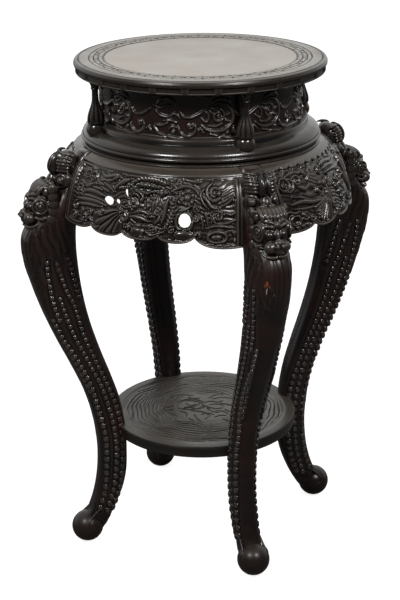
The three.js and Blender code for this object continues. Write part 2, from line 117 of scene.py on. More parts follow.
def stitched(one, other):
    """Triangles between two rows of point numbers that may differ in count."""
    faces, i, j = [], 0, 0
    last_one, last_other = len(one) - 1, len(other) - 1
    while i < last_one or j < last_other:
        if j == last_other or (i < last_one and (i + 1) * last_other <= (j + 1) * last_one):
            faces.append((one[i], one[i + 1], other[j]))
            i += 1
        else:
            faces.append((one[i], other[j + 1], other[j]))
            j += 1
    return faces


def new_object(name, data):
    """A new object in the scene for a mesh, a curve, a camera or a lamp."""
    made = bpy.data.objects.new(name, data)
    bpy.context.scene.collection.objects.link(made)
    return made


def shell(name, points, faces):
    """A closed, smooth mesh object from points in millimetres, with its faces turned outwards."""
    mesh = bpy.data.meshes.new(name)
    mesh.from_pydata((np.asarray(points).reshape(-1, 3) * MM).tolist(), [], faces)
    work = bmesh.new()
    work.from_mesh(mesh)
    bmesh.ops.recalc_face_normals(work, faces=work.faces)
    for face in work.faces:
        face.smooth = True
    work.to_mesh(mesh)
    work.free()
    return new_object(name, mesh)


def slab(name, front, back):
    """A closed shell from a fine front grid and a coarse back grid with the same four edges."""
    rows, columns = front.shape[:2]
    back_rows, back_columns = back.shape[:2]
    near = np.arange(rows * columns).reshape(rows, columns)
    far = rows * columns + np.arange(back_rows * back_columns).reshape(back_rows, back_columns)
    faces = grid_faces(rows, columns) + grid_faces(back_rows, back_columns, rows * columns)
    for one, other in ((near[0], far[0]), (near[-1], far[-1]),
                       (near[:, 0], far[:, 0]), (near[:, -1], far[:, -1])):
        faces += stitched(one.tolist(), other.tolist())
    return shell(name, np.vstack([front.reshape(-1, 3), back.reshape(-1, 3)]), faces)


def select_only(*pieces):
    """Selects pieces and nothing else, with the first one active."""
    bpy.ops.object.select_all(action="DESELECT")
    for piece in pieces:
        piece.select_set(True)
    bpy.context.view_layer.objects.active = pieces[0]


def turned(name, outline, steps=96, closed=True, centre=(0, 0)):
    """A piece spun about a vertical axis from an outline of [radius, height] points."""
    mesh = bpy.data.meshes.new(name)
    count = len(outline)
    edges = [(k, (k + 1) % count) for k in range(count if closed else count - 1)]
    mesh.from_pydata([((centre[0] + r) * MM, centre[1] * MM, z * MM) for r, z in outline], edges, [])
    piece = new_object(name, mesh)
    select_only(piece)
    bpy.ops.object.mode_set(mode="EDIT")
    bpy.ops.mesh.select_all(action="SELECT")
    bpy.ops.mesh.spin(steps=steps, angle=2 * math.pi, axis=(0, 0, 1),
                      center=(centre[0] * MM, centre[1] * MM, 0))
    bpy.ops.mesh.select_all(action="SELECT")
    bpy.ops.mesh.remove_doubles(threshold=1e-6)
    bpy.ops.mesh.normals_make_consistent(inside=False)
    bpy.ops.mesh.faces_shade_smooth()
    bpy.ops.object.mode_set(mode="OBJECT")
    return piece


def cut_flat(piece, height, **sides):
    """Cuts a piece through at a height, drops its upper or lower side and closes the cut."""
    select_only(piece)
    bpy.ops.object.mode_set(mode="EDIT")
    bpy.ops.mesh.select_all(action="SELECT")
    bpy.ops.mesh.bisect(plane_co=(0, 0, height * MM), plane_no=(0, 0, 1), use_fill=True, **sides)
    bpy.ops.object.mode_set(mode="OBJECT")


def modified(piece, kind, **settings):
    """Gives a piece a modifier with its settings, and applies it."""
    select_only(piece)
    added = piece.modifiers.new(kind.lower(), kind)
    for name, value in settings.items():
        setattr(added, name, value)
    bpy.ops.object.modifier_apply(modifier=added.name)


def cut_away(piece, tool):
    """Takes a tool's shape out of a piece."""
    modified(piece, "BOOLEAN", operation="DIFFERENCE", object=tool, solver="MANIFOLD")
    bpy.data.objects.remove(tool)


def joined(name, parts):
    """One piece made of several."""
    select_only(*parts)
    bpy.ops.object.join()
    piece = bpy.context.object
    piece.name = piece.data.name = name
    return piece


def place_in_mesh(piece):
    """Moves an object's place and turn into its mesh."""
    piece.data.transform(piece.matrix_world)
    piece.matrix_world = Matrix.Identity(4)


def placed(piece, degrees):
    """Turns a piece's mesh about Z by an angle in degrees."""
    piece.data.transform(Matrix.Rotation(math.radians(degrees), 4, "Z"))
    return piece


def mark_shade_and_wear(piece, rounds=5, depth=0.5):
    """Writes the attribute that a finish paints shade and wear from: above 0.5 in the cuts, where the surface
    lies below its surroundings and is darkened with painted shade, and below 0.5 on the crests, which are
    shown rubbed."""
    mesh = piece.data
    count = len(mesh.vertices)
    place, normal = np.empty(count * 3), np.empty(count * 3)
    mesh.vertices.foreach_get("co", place)
    mesh.vertices.foreach_get("normal", normal)
    place, normal = place.reshape(-1, 3), normal.reshape(-1, 3)
    pairs = np.empty(len(mesh.edges) * 2, np.int32)
    mesh.edges.foreach_get("vertices", pairs)
    pairs = pairs.reshape(-1, 2)
    one = np.concatenate([pairs[:, 0], pairs[:, 1]])
    other = np.concatenate([pairs[:, 1], pairs[:, 0]])
    degree = np.maximum(np.bincount(one, minlength=count), 1)
    even = place.copy()
    for _ in range(rounds):
        even = np.stack([np.bincount(one, even[other, k], count) / degree for k in range(3)], 1)
    lift = ((even - place) * normal).sum(1) / (depth * MM)
    layer = mesh.attributes.new("shade_and_wear", "FLOAT", "POINT")
    layer.data.foreach_set("value", np.clip(0.5 + lift / 2, 0, 1).astype(np.float32))


def finish(piece, material, *replaced):
    """Gives a piece its finish and puts it on the stand in place of CAD nodes."""
    piece.data.materials.clear()
    piece.data.materials.append(material)
    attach(piece, "root")
    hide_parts(*replaced)


def set_round(piece, title, material, replaced, places):
    """Copies a piece that lies on +X to its numbered places, each copy with its own mesh, and puts the piece
    itself in the last."""
    for number, degrees in places.items():
        last = number == list(places)[-1]
        copy = piece if last else new_object("copy", piece.data.copy())
        copy.name = f"{title}_{number}"
        finish(placed(copy, degrees), material, f"{replaced}_{number}")


# ---------------------------------------------------------------- finishes


def linear(code):
    """A colour written as six sRGB hex digits, as Blender's linear RGBA."""
    parts = [int(code[i:i + 2], 16) / 255 for i in (0, 2, 4)]
    return [c / 12.92 if c <= 0.04045 else ((c + 0.055) / 1.055) ** 2.4 for c in parts] + [1]


def node(tree, kind, sockets=(), **settings):
    """Adds a node with its settings, and fills or links its sockets by name or number."""
    made = tree.nodes.new(kind)
    for name, value in settings.items():
        setattr(made, name, value)
    for name, value in dict(sockets).items():
        if isinstance(value, bpy.types.NodeSocket):
            tree.links.new(value, made.inputs[name])
        else:
            made.inputs[name].default_value = value
    return made


def lacquered_wood(name, lacquer, warm, rubbed, cut_shade, dust_and_sheen, dust_and_sheen_share, uses_shade_and_wear=True, roughness=0.36,
                   dust_and_sheen_from=0.35, sheen=0.34):
    """Dark lacquer brushed over carved hardwood: rubbed brown on crests, with painted shade near black in the
    cuts, greyed on what faces up by dust and by a painted sheen, with fine grain lines under it. The colours
    are those of the lacquer, its warm patches, the rubbed crests, the painted shade in the cuts, and the dust
    with its painted sheen."""
    material = bpy.data.materials.new(name)
    material.use_nodes = True
    tree = material.node_tree
    shader = tree.nodes["Principled BSDF"]
    place = node(tree, "ShaderNodeTexCoord").outputs["Object"]
    # Patches about 60 mm wide where the lacquer has worn to a warmer brown.
    patches = node(tree, "ShaderNodeTexNoise", {"Vector": place, "Scale": 16, "Detail": 3}).outputs["Fac"]
    patch = node(tree, "ShaderNodeMapRange", {"Value": patches, "From Min": 0.4, "From Max": 0.7})
    colour = node(tree, "ShaderNodeMix", {"Factor": patch.outputs["Result"], 6: linear(lacquer),
                                          7: linear(warm)}, data_type="RGBA").outputs[2]
    if uses_shade_and_wear:
        # The crests are rubbed brown, and then the cuts are darkened with painted shade.
        shade_and_wear = node(tree, "ShaderNodeAttribute", attribute_name="shade_and_wear").outputs["Fac"]
        for none, full, tone in ((0.42, 0.15, rubbed), (0.52, 0.85, cut_shade)):
            depth = node(tree, "ShaderNodeMapRange", {"Value": shade_and_wear, "From Min": none, "From Max": full})
            colour = node(tree, "ShaderNodeMix", {"Factor": depth.outputs["Result"], 6: colour,
                                                  7: linear(tone)}, data_type="RGBA").outputs[2]
    # Upward faces are paler: dust, and a painted sheen that stands in for the reflection of a bright room;
    # specks about 4 mm wide break this paler film up.
    up = node(tree, "ShaderNodeSeparateXYZ", {0: node(tree, "ShaderNodeNewGeometry").outputs["Normal"]})
    dust_and_sheen_film = node(tree, "ShaderNodeMapRange", {"Value": up.outputs["Z"], "From Min": dust_and_sheen_from,
                                             "From Max": 1.0, "To Max": dust_and_sheen_share})
    specks = node(tree, "ShaderNodeTexNoise", {"Vector": place, "Scale": 240, "Detail": 2}).outputs["Fac"]
    speck = node(tree, "ShaderNodeMapRange", {"Value": specks, "From Min": 0.3, "From Max": 0.7,
                                              "To Min": 0.75})
    share = node(tree, "ShaderNodeMath", {0: dust_and_sheen_film.outputs["Result"], 1: speck.outputs["Result"]},
                 operation="MULTIPLY").outputs[0]
    if uses_shade_and_wear:
        # Neither the dust nor the painted sheen shows in the bottom of a cut.
        open_wood = node(tree, "ShaderNodeMapRange", {"Value": shade_and_wear, "From Min": 0.75, "From Max": 0.55})
        share = node(tree, "ShaderNodeMath", {0: share, 1: open_wood.outputs["Result"]},
                     operation="MULTIPLY").outputs[0]
    colour = node(tree, "ShaderNodeMix", {"Factor": share, 6: colour, 7: linear(dust_and_sheen)},
                  data_type="RGBA").outputs[2]
    tree.links.new(colour, shader.inputs["Base Color"])
    # Grain lines stand 1.6 mm apart and run upwards; real pores are finer than the render shows.
    grain_place = node(tree, "ShaderNodeMapping", {"Vector": place, "Scale": (620, 620, 26)})
    grain = node(tree, "ShaderNodeTexNoise", {"Vector": grain_place.outputs[0], "Scale": 1, "Detail": 2})
    bump = node(tree, "ShaderNodeBump", {"Height": grain.outputs["Fac"], "Strength": 0.25,
                                         "Distance": 0.4 * MM})
    tree.links.new(bump.outputs[0], shader.inputs["Normal"])
    rough = node(tree, "ShaderNodeMapRange", {"Value": patches, "From Min": 0.3, "From Max": 0.7,
                                              "To Min": roughness - 0.06, "To Max": roughness + 0.1})
    tree.links.new(rough.outputs["Result"], shader.inputs["Roughness"])
    shader.inputs["Specular IOR Level"].default_value = sheen
    return material


def chipped(material, spots):
    """Small places where the lacquer has been knocked off, each with its place, half sizes and colour."""
    tree = material.node_tree
    shader = tree.nodes["Principled BSDF"]
    place = node(tree, "ShaderNodeTexCoord").outputs["Object"]
    for centre, sizes, bare_colour in spots:
        nearby = node(tree, "ShaderNodeMapping", {"Vector": place, "Location": [v * MM for v in centre],
                                                  "Rotation": (0, 0, math.radians(-45)),
                                                  "Scale": [v * MM for v in sizes]}, vector_type="TEXTURE")
        reach = node(tree, "ShaderNodeVectorMath", {0: nearby.outputs[0]}, operation="LENGTH")
        share = node(tree, "ShaderNodeMapRange", {"Value": reach.outputs["Value"],
                                                  "From Min": 1.1, "From Max": 0.75})
        colour = node(tree, "ShaderNodeMix", {"Factor": share.outputs["Result"],
                                              6: shader.inputs["Base Color"].links[0].from_socket,
                                              7: linear(bare_colour)}, data_type="RGBA").outputs[2]
        tree.links.new(colour, shader.inputs["Base Color"])


def darkened_edge(material, inner, outer, edge_colour, share):
    """Darkens a disc's top between two radii, more towards the outer one, over its grey film."""
    tree = material.node_tree
    shader = tree.nodes["Principled BSDF"]
    place = node(tree, "ShaderNodeTexCoord").outputs["Object"]
    flat = node(tree, "ShaderNodeVectorMath", {0: place, 1: (1, 1, 0)}, operation="MULTIPLY")
    reach = node(tree, "ShaderNodeVectorMath", {0: flat.outputs[0]}, operation="LENGTH")
    edge = node(tree, "ShaderNodeMapRange", {"Value": reach.outputs["Value"], "From Min": inner * MM,
                                             "From Max": outer * MM, "To Max": share})
    colour = node(tree, "ShaderNodeMix", {"Factor": edge.outputs["Result"],
                                          6: shader.inputs["Base Color"].links[0].from_socket,
                                          7: linear(edge_colour)}, data_type="RGBA").outputs[2]
    tree.links.new(colour, shader.inputs["Base Color"])


# Deep carving: a clear gloss, brown crests and cuts blackened with painted shade, with a grey film of dust
# and painted sheen on all that leans upwards.
carved = lacquered_wood("lacquer_on_carved_hardwood", "191513", "211411", "362f2a", "030202", "5c564d", 0.36,
                        dust_and_sheen_from=0.2, roughness=0.22, sheen=0.5)
# The waist: the same gloss, redder between the scrolls.
waist_wood = lacquered_wood("reddish_lacquer_on_waist", "1c1412", "27130f", "342c28", "040303", "544e47", 0.3,
                            roughness=0.22, sheen=0.5)
# The legs: nearly black, with red wood showing through in patches and hardly any film of dust and painted
# sheen.
reddened = lacquered_wood("lacquer_on_worn_legs", "0f0b0a", "230f0c", "221815", "030202", "56524a", 0.8,
                          dust_and_sheen_from=0.7, roughness=0.26, sheen=0.42)
# The beads: rubbed to a bright gloss on their tops, where their paler colour is partly a painted highlight.
rubbed = lacquered_wood("lacquer_rubbed_from_beads_with_painted_highlight", "120f0d", "24130f", "3a3530", "040303", "6f6a62", 0.2,
                        dust_and_sheen_from=0.7, roughness=0.16, sheen=0.75)
# Turned and moulded wood: an even black-brown with long clear highlights.
plain = lacquered_wood("lacquer_on_turned_hardwood", "13110f", "1b1210", "26201c", "040404", "5a564e", 0.2,
                       roughness=0.19, sheen=0.5)
# The balls of the feet: duller, with warm brown patches.
footed = lacquered_wood("lacquer_on_scuffed_feet", "100d0c", "28120f", "1f1916", "040404", "4a463f", 0.25,
                        roughness=0.3, sheen=0.32)
# The flat frame of the top: a grey film of dust and painted sheen, which leaves the fret's lines dark with
# painted shade.
greyed = lacquered_wood("lacquer_with_dust_and_painted_sheen_on_flat_tops", "1b1816", "221715", "37312d", "050505", "8a857c", 0.85,
                        dust_and_sheen_from=0.5, roughness=0.27)
# The shelf: a darker, duller film of dust and painted sheen over gouged lines blackened with painted shade.
gouged = lacquered_wood("lacquer_with_dust_and_painted_sheen_on_gouged_shelf", "12100e", "1a1311", "26221e", "030303", "48433b",
                        0.85, dust_and_sheen_from=0.7, roughness=0.3)
# Hidden softwood: pale brown, with no gloss.
bare = lacquered_wood("unfinished_softwood", "6d543c", "7b6248", "7b6248", "4a3727", "8a7a66", 0.3,
                      uses_shade_and_wear=False, roughness=0.7)
# The panel: lacquer faded to a milky grey-brown, a colour that is partly a painted sheen from the bright
# room.
panel_finish = lacquered_wood("faded_lacquer_with_painted_sheen_on_flat_panel", "857f76", "94847d", "857f76", "5f5850", "969087",
                              0.6, uses_shade_and_wear=False, roughness=0.34)

# A chip on the knee of the front leg with scratches under it, and two scratches by its foot.
chipped(reddened, (
    ((198.5, -225, 542), (9, 1.9, 5.0), "743a24"), ((196.9, -226.6, 538.6), (9, 1.5, 3.4), "5a2a1a"),
    ((200.4, -223, 537.4), (9, 1.1, 2.6), "6b4330"), ((199, -226, 530), (9, 0.8, 5.5), "8d8a84"),
    ((206, -218, 524), (9, 0.6, 4.5), "5e5550"), ((188, -234, 519), (9, 0.6, 6), "4f2a20"),
    ((170, -178, 92), (9, 0.7, 8), "6b645c"), ((163, -186, 84), (9, 0.6, 6), "574b44")))
# The frame's top is darkened towards its rounded rim as painted shade; the shelf's top is darker towards its
# edge.
darkened_edge(greyed, 180, 201, "26221f", 0.6)
darkened_edge(gouged, 140, 146, "1d1b18", 0.35)

# ---------------------------------------------------------------- the carver's strokes


class Carving:
    """A surface being carved: a height for each point whose two places on it are in millimetres."""

    def __init__(self, across, up, height):
        self.across, self.up = across, up
        self.height = np.array(np.broadcast_to(height, across.shape), float)

    def near(self, low, high):
        """The points in a box."""
        return np.nonzero((self.across >= low[0]) & (self.across <= high[0])
                          & (self.up >= low[1]) & (self.up <= high[1]))

    def ridge(self, points, half, crest=0.0, rise=3.0, pattern=None, taper=0.35, edge=1.2, smooth=8):
        """A rounded ridge along a line, with a groove on both sides, narrower at its ends."""
        line = smooth_line(points, smooth)
        found = self.near(line.min(0) - half - edge, line.max(0) + half + edge)
        place = np.stack([self.across[found], self.up[found]], 1)
        if not len(place):
            return
        best, along, side, run = nearest_on(line, place)
        width = half * (1 - (1 - taper) * np.abs(2 * along / run - 1) ** 3)
        q = best / width
        height = crest - rise + rise * np.sqrt(np.clip(1 - q ** 2, 0, 1))
        if pattern:
            height += pattern(along, side * q)
        self.put(found, q < 1, height)
        self.put(found, (q >= 1) & (best < width + edge), np.minimum(self.height[found], crest - rise - 0.3))

    def put(self, found, chosen, height):
        """Sets the height of those of the found points that are chosen."""
        self.height[found[0][chosen], found[1][chosen]] = height[chosen]

    def dome(self, centre, half_across, half_up, crest=0.3, rise=3.4, tilt=0, pattern=None):
        """A rounded boss with a groove round it."""
        reach = max(half_across, half_up) + 1.5
        found = self.near(np.array(centre) - reach, np.array(centre) + reach)
        x, y = self.across[found] - centre[0], self.up[found] - centre[1]
        turn = math.radians(tilt)
        x, y = x * math.cos(turn) + y * math.sin(turn), y * math.cos(turn) - x * math.sin(turn)
        q = np.hypot(x / half_across, y / half_up)
        height = crest - rise + rise * np.sqrt(np.clip(1 - q ** 2, 0, 1))
        if pattern:
            height += pattern(x, y / half_up)
        self.put(found, q < 1, height)
        rim = 1 + 1.2 / min(half_across, half_up)
        self.put(found, (q >= 1) & (q < rim), np.minimum(self.height[found], crest - rise - 0.3))

    def ring(self, centre, radius_across, radius_up, half, crest=0.0, rise=2.6, first=0, last=360):
        """A ridge round an oval, or along part of it."""
        turn = np.radians(np.linspace(first, last, 13))
        points = np.stack([centre[0] + radius_across * np.cos(turn), centre[1] + radius_up * np.sin(turn)], 1)
        self.ridge(points, half, crest, rise, taper=1 if last - first == 360 else 0.5, smooth=3)

    def curl(self, centre, radius, first, turns, half, crest=0.0, rise=3.0):
        """A scroll: a ridge that winds in to a small boss. Turns below 0 wind clockwise."""
        share = np.linspace(0, 1, 14)
        turn = np.radians(first) + 2 * np.pi * turns * share
        reach = radius * (1 - 0.78 * share)
        points = np.stack([centre[0] + reach * np.cos(turn), centre[1] + reach * np.sin(turn)], 1)
        self.ridge(points, half, crest, rise, taper=0.6, smooth=3)
        self.dome(centre, half * 1.15, half * 1.15, crest + 0.3, rise)

    def fan(self, centre, first, last, near, far, ribs, half, crest=0.0, rise=2.6):
        """Feathers or folds that spread from a point."""
        for degrees in np.linspace(first, last, ribs):
            turn = math.radians(degrees)
            ends = [(centre[0] + reach * math.cos(turn + bend), centre[1] + reach * math.sin(turn + bend))
                    for reach, bend in ((near, 0), ((near + far) / 2, 0.05), (far, 0.0))]
            self.ridge(ends, half, crest, rise, taper=0.55, smooth=4)

    def petals(self, centre, reach_across, reach_up, count, first, half_across, half_up, crest):
        """Bosses in a ring about a point, each turned outwards."""
        for k in range(count):
            degrees = first + 360 / count * k
            turn = math.radians(degrees)
            self.dome((centre[0] + reach_across * math.cos(turn), centre[1] + reach_up * math.sin(turn)),
                      half_across, half_up, crest, tilt=degrees)

    def each(self, stroke, *rows):
        """The same kind of stroke again and again, with a row of settings for each."""
        for row in rows:
            stroke(*row)

    def pit(self, centre, half_across, half_up, depth):
        """A sunk oval."""
        found = self.near((centre[0] - half_across, centre[1] - half_up),
                          (centre[0] + half_across, centre[1] + half_up))
        q = np.hypot((self.across[found] - centre[0]) / half_across, (self.up[found] - centre[1]) / half_up)
        height = -depth * np.sqrt(np.clip(1 - q ** 2, 0, 1)) ** 0.5
        self.put(found, q < 1, np.minimum(self.height[found], height))

    def settle(self):
        """Rounds the cuts a little, as rubbing down does."""
        grown = np.pad(self.height, 1, mode="edge")
        rows, columns = self.height.shape
        self.height = sum(grown[i:i + rows, j:j + columns] * weight for i, j, weight in (
            (1, 1, 0.4), (0, 1, 0.15), (2, 1, 0.15), (1, 0, 0.15), (1, 2, 0.15)))


def scales(along, v):
    """Overlapping scales about 6 mm long."""
    return 1.3 - 3.9 * (((along + 2.6 * v ** 2) / 6.0) % 1)


def barbs(along, v):
    """Sharp chevrons like a spine's."""
    return 1.6 - 4.0 * (((along + 3.5 * np.abs(v)) / 5.4) % 1)


def strands(along, v):
    """Hair or feather lines along a ridge."""
    return 0.55 * np.cos(v * math.pi * 3.2)


def mane_waves(x, v):
    """Wavy hair over the dragon's neck."""
    return 0.9 * np.cos(x * 1.25 + 2 * v)


def stamens(x, v):
    """Small knobs in the middle of a blossom."""
    return 0.5 * np.cos(x * 2.6) * np.cos(v * 9)


# ---------------------------------------------------------------- the aprons

# An apron's face from its top edge to its foot, as [radius, height].
APRON_FACE = smooth_line([(194, 693.2), (204, 688.2), (220, 675.2), (231, 656.2), (240, 631.2),
                          (246, 605.2), (248, 587.2), (248.3, 580.7)], 12)[::-1]
APRON_FOOT_RADIUS = 248
APRON_THICKNESS = 17
APRON_TOP = 693.2
APRON_BASE = 587.5  # the height that the carving is measured from
ARC = 238  # the radius on which the carving's distance across is measured
# Half the width of a leg at a height, from the foot of the aprons up.
LEG_HALF_WIDTH = np.array([(575, 30.8), (587.5, 30.5), (616, 29), (640, 26.8), (664, 23.5), (680, 21.2),
                           (694, 19)])
# The lobes of the lower edge: the middle, the width, and how far the lowest point lies over LOBE_FOOT.
LOBES = ((-125, 70, 11), (-60, 60, 10), (0, 60, 11), (58, 56, 10), (134, 96, 1))
LOBE_FOOT, LOBE_NOTCH = 581, 600.5
# The piercings: distance across, height, half width and half height.
PIERCINGS = ((-56.4, 641.4, 7.4, 5.4), (-41, 642, 3.2, 3.8), (-25.4, 656.6, 4.8, 5.2),
             (-28.2, 625.2, 2.8, 3.2), (67.6, 624, 8.2, 9.6))
GROUND = -4.4  # how high the carving's ground lies, measured from the apron's face


def apron_radius(height):
    """The radius of an apron's face at a height."""
    return np.interp(height, APRON_FACE[:, 1], APRON_FACE[:, 0])


def lobed_foot(across):
    """The height of an apron's lower edge."""
    foot = np.full(across.shape, LOBE_NOTCH)
    u = np.linspace(0, 1, 25)
    for middle, width, low in LOBES:
        start, end = middle - width / 2, middle + width / 2
        left_x = (1 - u) ** 2 * start + 2 * u * (1 - u) * (start + width * 0.12) + u ** 2 * middle
        left_z = (1 - u) ** 2 * LOBE_NOTCH + 2 * u * (1 - u) * (LOBE_FOOT + low) + u ** 2 * (LOBE_FOOT + low)
        # The right half mirrors the left one about the lobe's middle.
        x = np.concatenate([left_x, (2 * middle - left_x)[::-1][1:]])
        z = np.concatenate([left_z, left_z[::-1][1:]])
        inside = (across >= start) & (across <= end)
        foot[inside] = np.interp(across[inside], x, z)
    return foot


def side_reach(height):
    """How far across an apron runs to each side, where it meets the legs."""
    half = np.interp(height, LEG_HALF_WIDTH[:, 0], LEG_HALF_WIDTH[:, 1]) - 4
    return ARC * (math.pi / 4 - np.arcsin(half / apron_radius(height)))


def apron_grid(rows, columns):
    """The places of an apron's grid: distance across and height, in rows from the lower edge up."""
    u = np.linspace(-1, 1, columns)
    reach = 156  # a first guess, from which the lobes give the true one
    for _ in range(2):
        foot = lobed_foot(APRON_FOOT_RADIUS * np.sin(u * reach / ARC))
        reach = side_reach(foot)
    height = foot + np.linspace(0, 1, rows)[:, None] * (APRON_TOP - foot)
    return u * side_reach(height), height


def apron_points(across, height, lift):
    """Points of the apron whose middle is on +X, moved out from its face by a lift."""
    slope = np.gradient(APRON_FACE[:, 0], APRON_FACE[:, 1])
    lean = np.interp(height, APRON_FACE[:, 1], slope)
    size = np.hypot(1, lean)
    radius = apron_radius(height) + lift / size
    turn = across / ARC
    return np.stack([radius * np.cos(turn), radius * np.sin(turn), height - lift * lean / size], -1)


def carve_ground(board):
    """The sunk ground with low waves."""
    s, t = board.across, board.up
    waves = np.sin(2 * math.pi * (t + 4.5 * np.sin(s / 13) + 2.5 * np.sin(s / 6.1 + t / 15)) / 6.6)
    board.height[:] = GROUND + 0.3 + 0.32 * waves


def carve_frame(board, foot, reach):
    """The plain band along the top, the fillets beside the legs and the bead along the lobes."""
    s, t = board.across, board.up
    edge = reach - np.abs(s)
    height = board.height
    # Where a border has ended its profile rises to 9, and the carving stays.
    side = np.interp(edge, [0, 8.5, 9.2, 11, 11.8, 15, 16, 17.6, 18.4],
                     [0, 0, -1.6, -1.6, 0.2, 0.2, -2.2, -2.2, 9])
    band = np.interp(t, [94.6, 95.4, 97, 97.8], [9, -2.4, -2.4, 0])
    rim = np.interp(t - foot, [0, 0.8, 2.6, 3.4, 4.4, 5.2], [-1.2, -0.4, -0.4, -2.8, -2.8, 9])
    for shape in (side, rim, band):
        height[:] = np.where(shape < 8.9, np.where(shape > 0.3, np.minimum(height, shape), shape), height)


def carve_dragon(b):
    """A dragon that winds through clouds, with its head in the middle."""
    # long bands of cloud on the left
    for points, half in (
        ([(-132, 74), (-118, 68), (-92, 78), (-62, 85)], 4.2), ([(-124, 60), (-98, 64), (-70, 61)], 3.4),
        ([(-134, 54), (-104, 55), (-70, 54)], 3.0), ([(-136, 46), (-110, 49), (-84, 50), (-64, 48)], 3.2),
        ([(-138, 37), (-122, 40), (-100, 43), (-72, 44)], 2.8), ([(-126, 92), (-112, 93), (-96, 90)], 2.6),
        ([(-92, 92), (-78, 88), (-60, 92), (-44, 90)], 2.6), ([(-96, 84), (-84, 76), (-70, 78)], 2.8),
        ([(-60, 77), (-78, 70), (-100, 70)], 2.4),
    ):
        b.ridge(points, half, crest=-0.9, rise=1.9)
    b.each(b.curl, ((-105, 83), 9, 200, -1.3, 2.5), ((-121, 84), 7, 20, 1.2, 2.2),
           ((-117, 62), 6, 100, 1.1, 2.0), ((-130, 62), 7, 30, 1.2, 2.1))
    # the wing: a fan of long feathers under the left of the body
    b.fan((-26, 44), 192, 246, 12, 56, 5, 7.2, crest=0.2, rise=3.6)
    b.dome((-68, 39), 4.2, 4.2)
    # curls in the lower left corner
    b.each(b.curl, ((-130, 36), 7, 90, 1.3, 2.1), ((-131, 20), 8, 200, -1.4, 2.3),
           ((-106, 21), 7.5, 330, 1.3, 2.2), ((-113, 31), 5, 120, -1.1, 1.8), ((-96, 33), 6.5, 200, 1.2, 2.0))
    b.each(b.ridge, ([(-150, 16), (-140, 12), (-126, 11), (-114, 12)], 2.4),
           ([(-88, 20), (-94, 24), (-98, 20)], 2.0), ([(-84, 14), (-78, 11), (-72, 15)], 2.4))
    # clouds above the body and under it
    b.ridge([(-40, 93), (-20, 95), (6, 93), (30, 95), (52, 92)], 2.2)
    b.each(b.curl, ((60, 88), 6, 180, -1.2, 2.0), ((76, 91), 5, 0, 1.1, 1.8))
    b.ridge([(66, 95), (82, 93), (96, 92)], 2.0)
    b.curl((88, 84), 5, 200, 1.1, 1.8)
    # the arched foreleg and its claws
    b.each(b.ridge, ([(-62, 68), (-70, 70), (-80, 73)], 2.2), ([(-52, 70), (-64, 75), (-78, 80)], 2.2),
           ([(-61, 85), (-57, 88), (-52, 90)], 2.4, 0.5))
    b.ridge([(-51, 74), (-45, 80), (-37, 86), (-27, 90)], 3.6, crest=1.5, rise=4.4, pattern=strands)
    for k in range(4):
        b.ridge([(-44 + 5 * k, 74 + k), (-40 + 5 * k, 79 + k)], 1.7)
    # the body over the head: one long loop covered with scales
    b.ridge([(-23, 82), (-12, 91), (6, 93.5), (26, 92), (41, 86), (37, 77), (20, 74), (2, 74), (-14, 77),
             (-23, 84)], 4.5, crest=2.2, rise=6.0, pattern=scales, taper=0.15)
    b.ridge([(-10, 84), (2, 84.5), (16, 84), (29, 83)], 3.4, crest=2.6, rise=6.0, pattern=scales, taper=0.4)
    b.ridge([(40, 84), (50, 81), (58, 74)], 4.0, crest=0.8, rise=4.0, pattern=scales, taper=0.5)
    # the mane, the head and the open jaws
    b.dome((20, 58), 15, 17, crest=-0.8, pattern=mane_waves)
    for degrees in range(200, 345, 18):
        a = math.radians(degrees)
        b.ridge([(20 + 12 * math.cos(a), 58 + 12 * math.sin(a)),
                 (20 + 20 * math.cos(a + 0.2), 58 + 19 * math.sin(a + 0.2))], 2.2)
    b.each(b.dome, ((19, 68), 5.5, 2.8, 1.0), ((12, 56), 2.8, 5.0, 1.0), ((32, 59), 2.4, 4.4, 0.6))
    b.curl((27, 49), 6, 90, -1.1, 1.9, crest=0.4)
    b.ridge([(-40, 50), (-28, 46), (-12, 46), (2, 48), (12, 46), (18, 42)], 3.0, crest=0.6)
    b.dome((-21, 56), 16, 11, crest=-0.2, rise=4.0)
    b.ridge([(-36, 52), (-26, 51), (-14, 52)], 1.6, crest=0.9, rise=2)
    b.each(b.dome, ((-29, 57), 3.2, 2.6, 1.2), ((-14, 60), 3.8, 2.8, 1.3), ((-24, 54), 2.4, 1.8, 1.2),
           ((-12, 53), 3.2, 2.2, 1.0))
    b.each(b.ring, ((-10, 66), 12, 9, 1.7, 0.6, 2.6, -30, 150), ((-12, 66), 7, 5.5, 1.5, 0.5, 2.6, -10, 170))
    b.each(b.ridge, ([(-36, 63), (-30, 66), (-20, 63)], 1.9, 0.8),
           ([(-18, 38), (-8, 39), (6, 37), (14, 34)], 3.2, 0.5))
    b.ring((-27, 38), 7.0, 7.0, 2.2, crest=0.9, first=-140, last=150)
    b.each(b.pit, ((5, 30), 4.5, 3, 6), ((18, 31), 4.5, 3, 6))
    b.ridge([(24, 32), (30, 38), (36, 48), (40, 58)], 3.4, crest=0.2)
    b.each(b.dome, ((35, 45), 2.6, 3.4, 1.0), ((18, 41), 3.4, 2.2, 1.0))
    # the tail: a barbed spine that comes down on the right of the head
    b.ridge([(44, 70), (40, 58), (38, 44), (34, 32)], 3.2, crest=-0.4)
    b.ridge([(62, 66), (55, 69), (51, 62), (53, 52), (49, 42), (46, 32), (40, 25)], 6.2, crest=1.3, rise=4.6,
            pattern=barbs, taper=0.6)
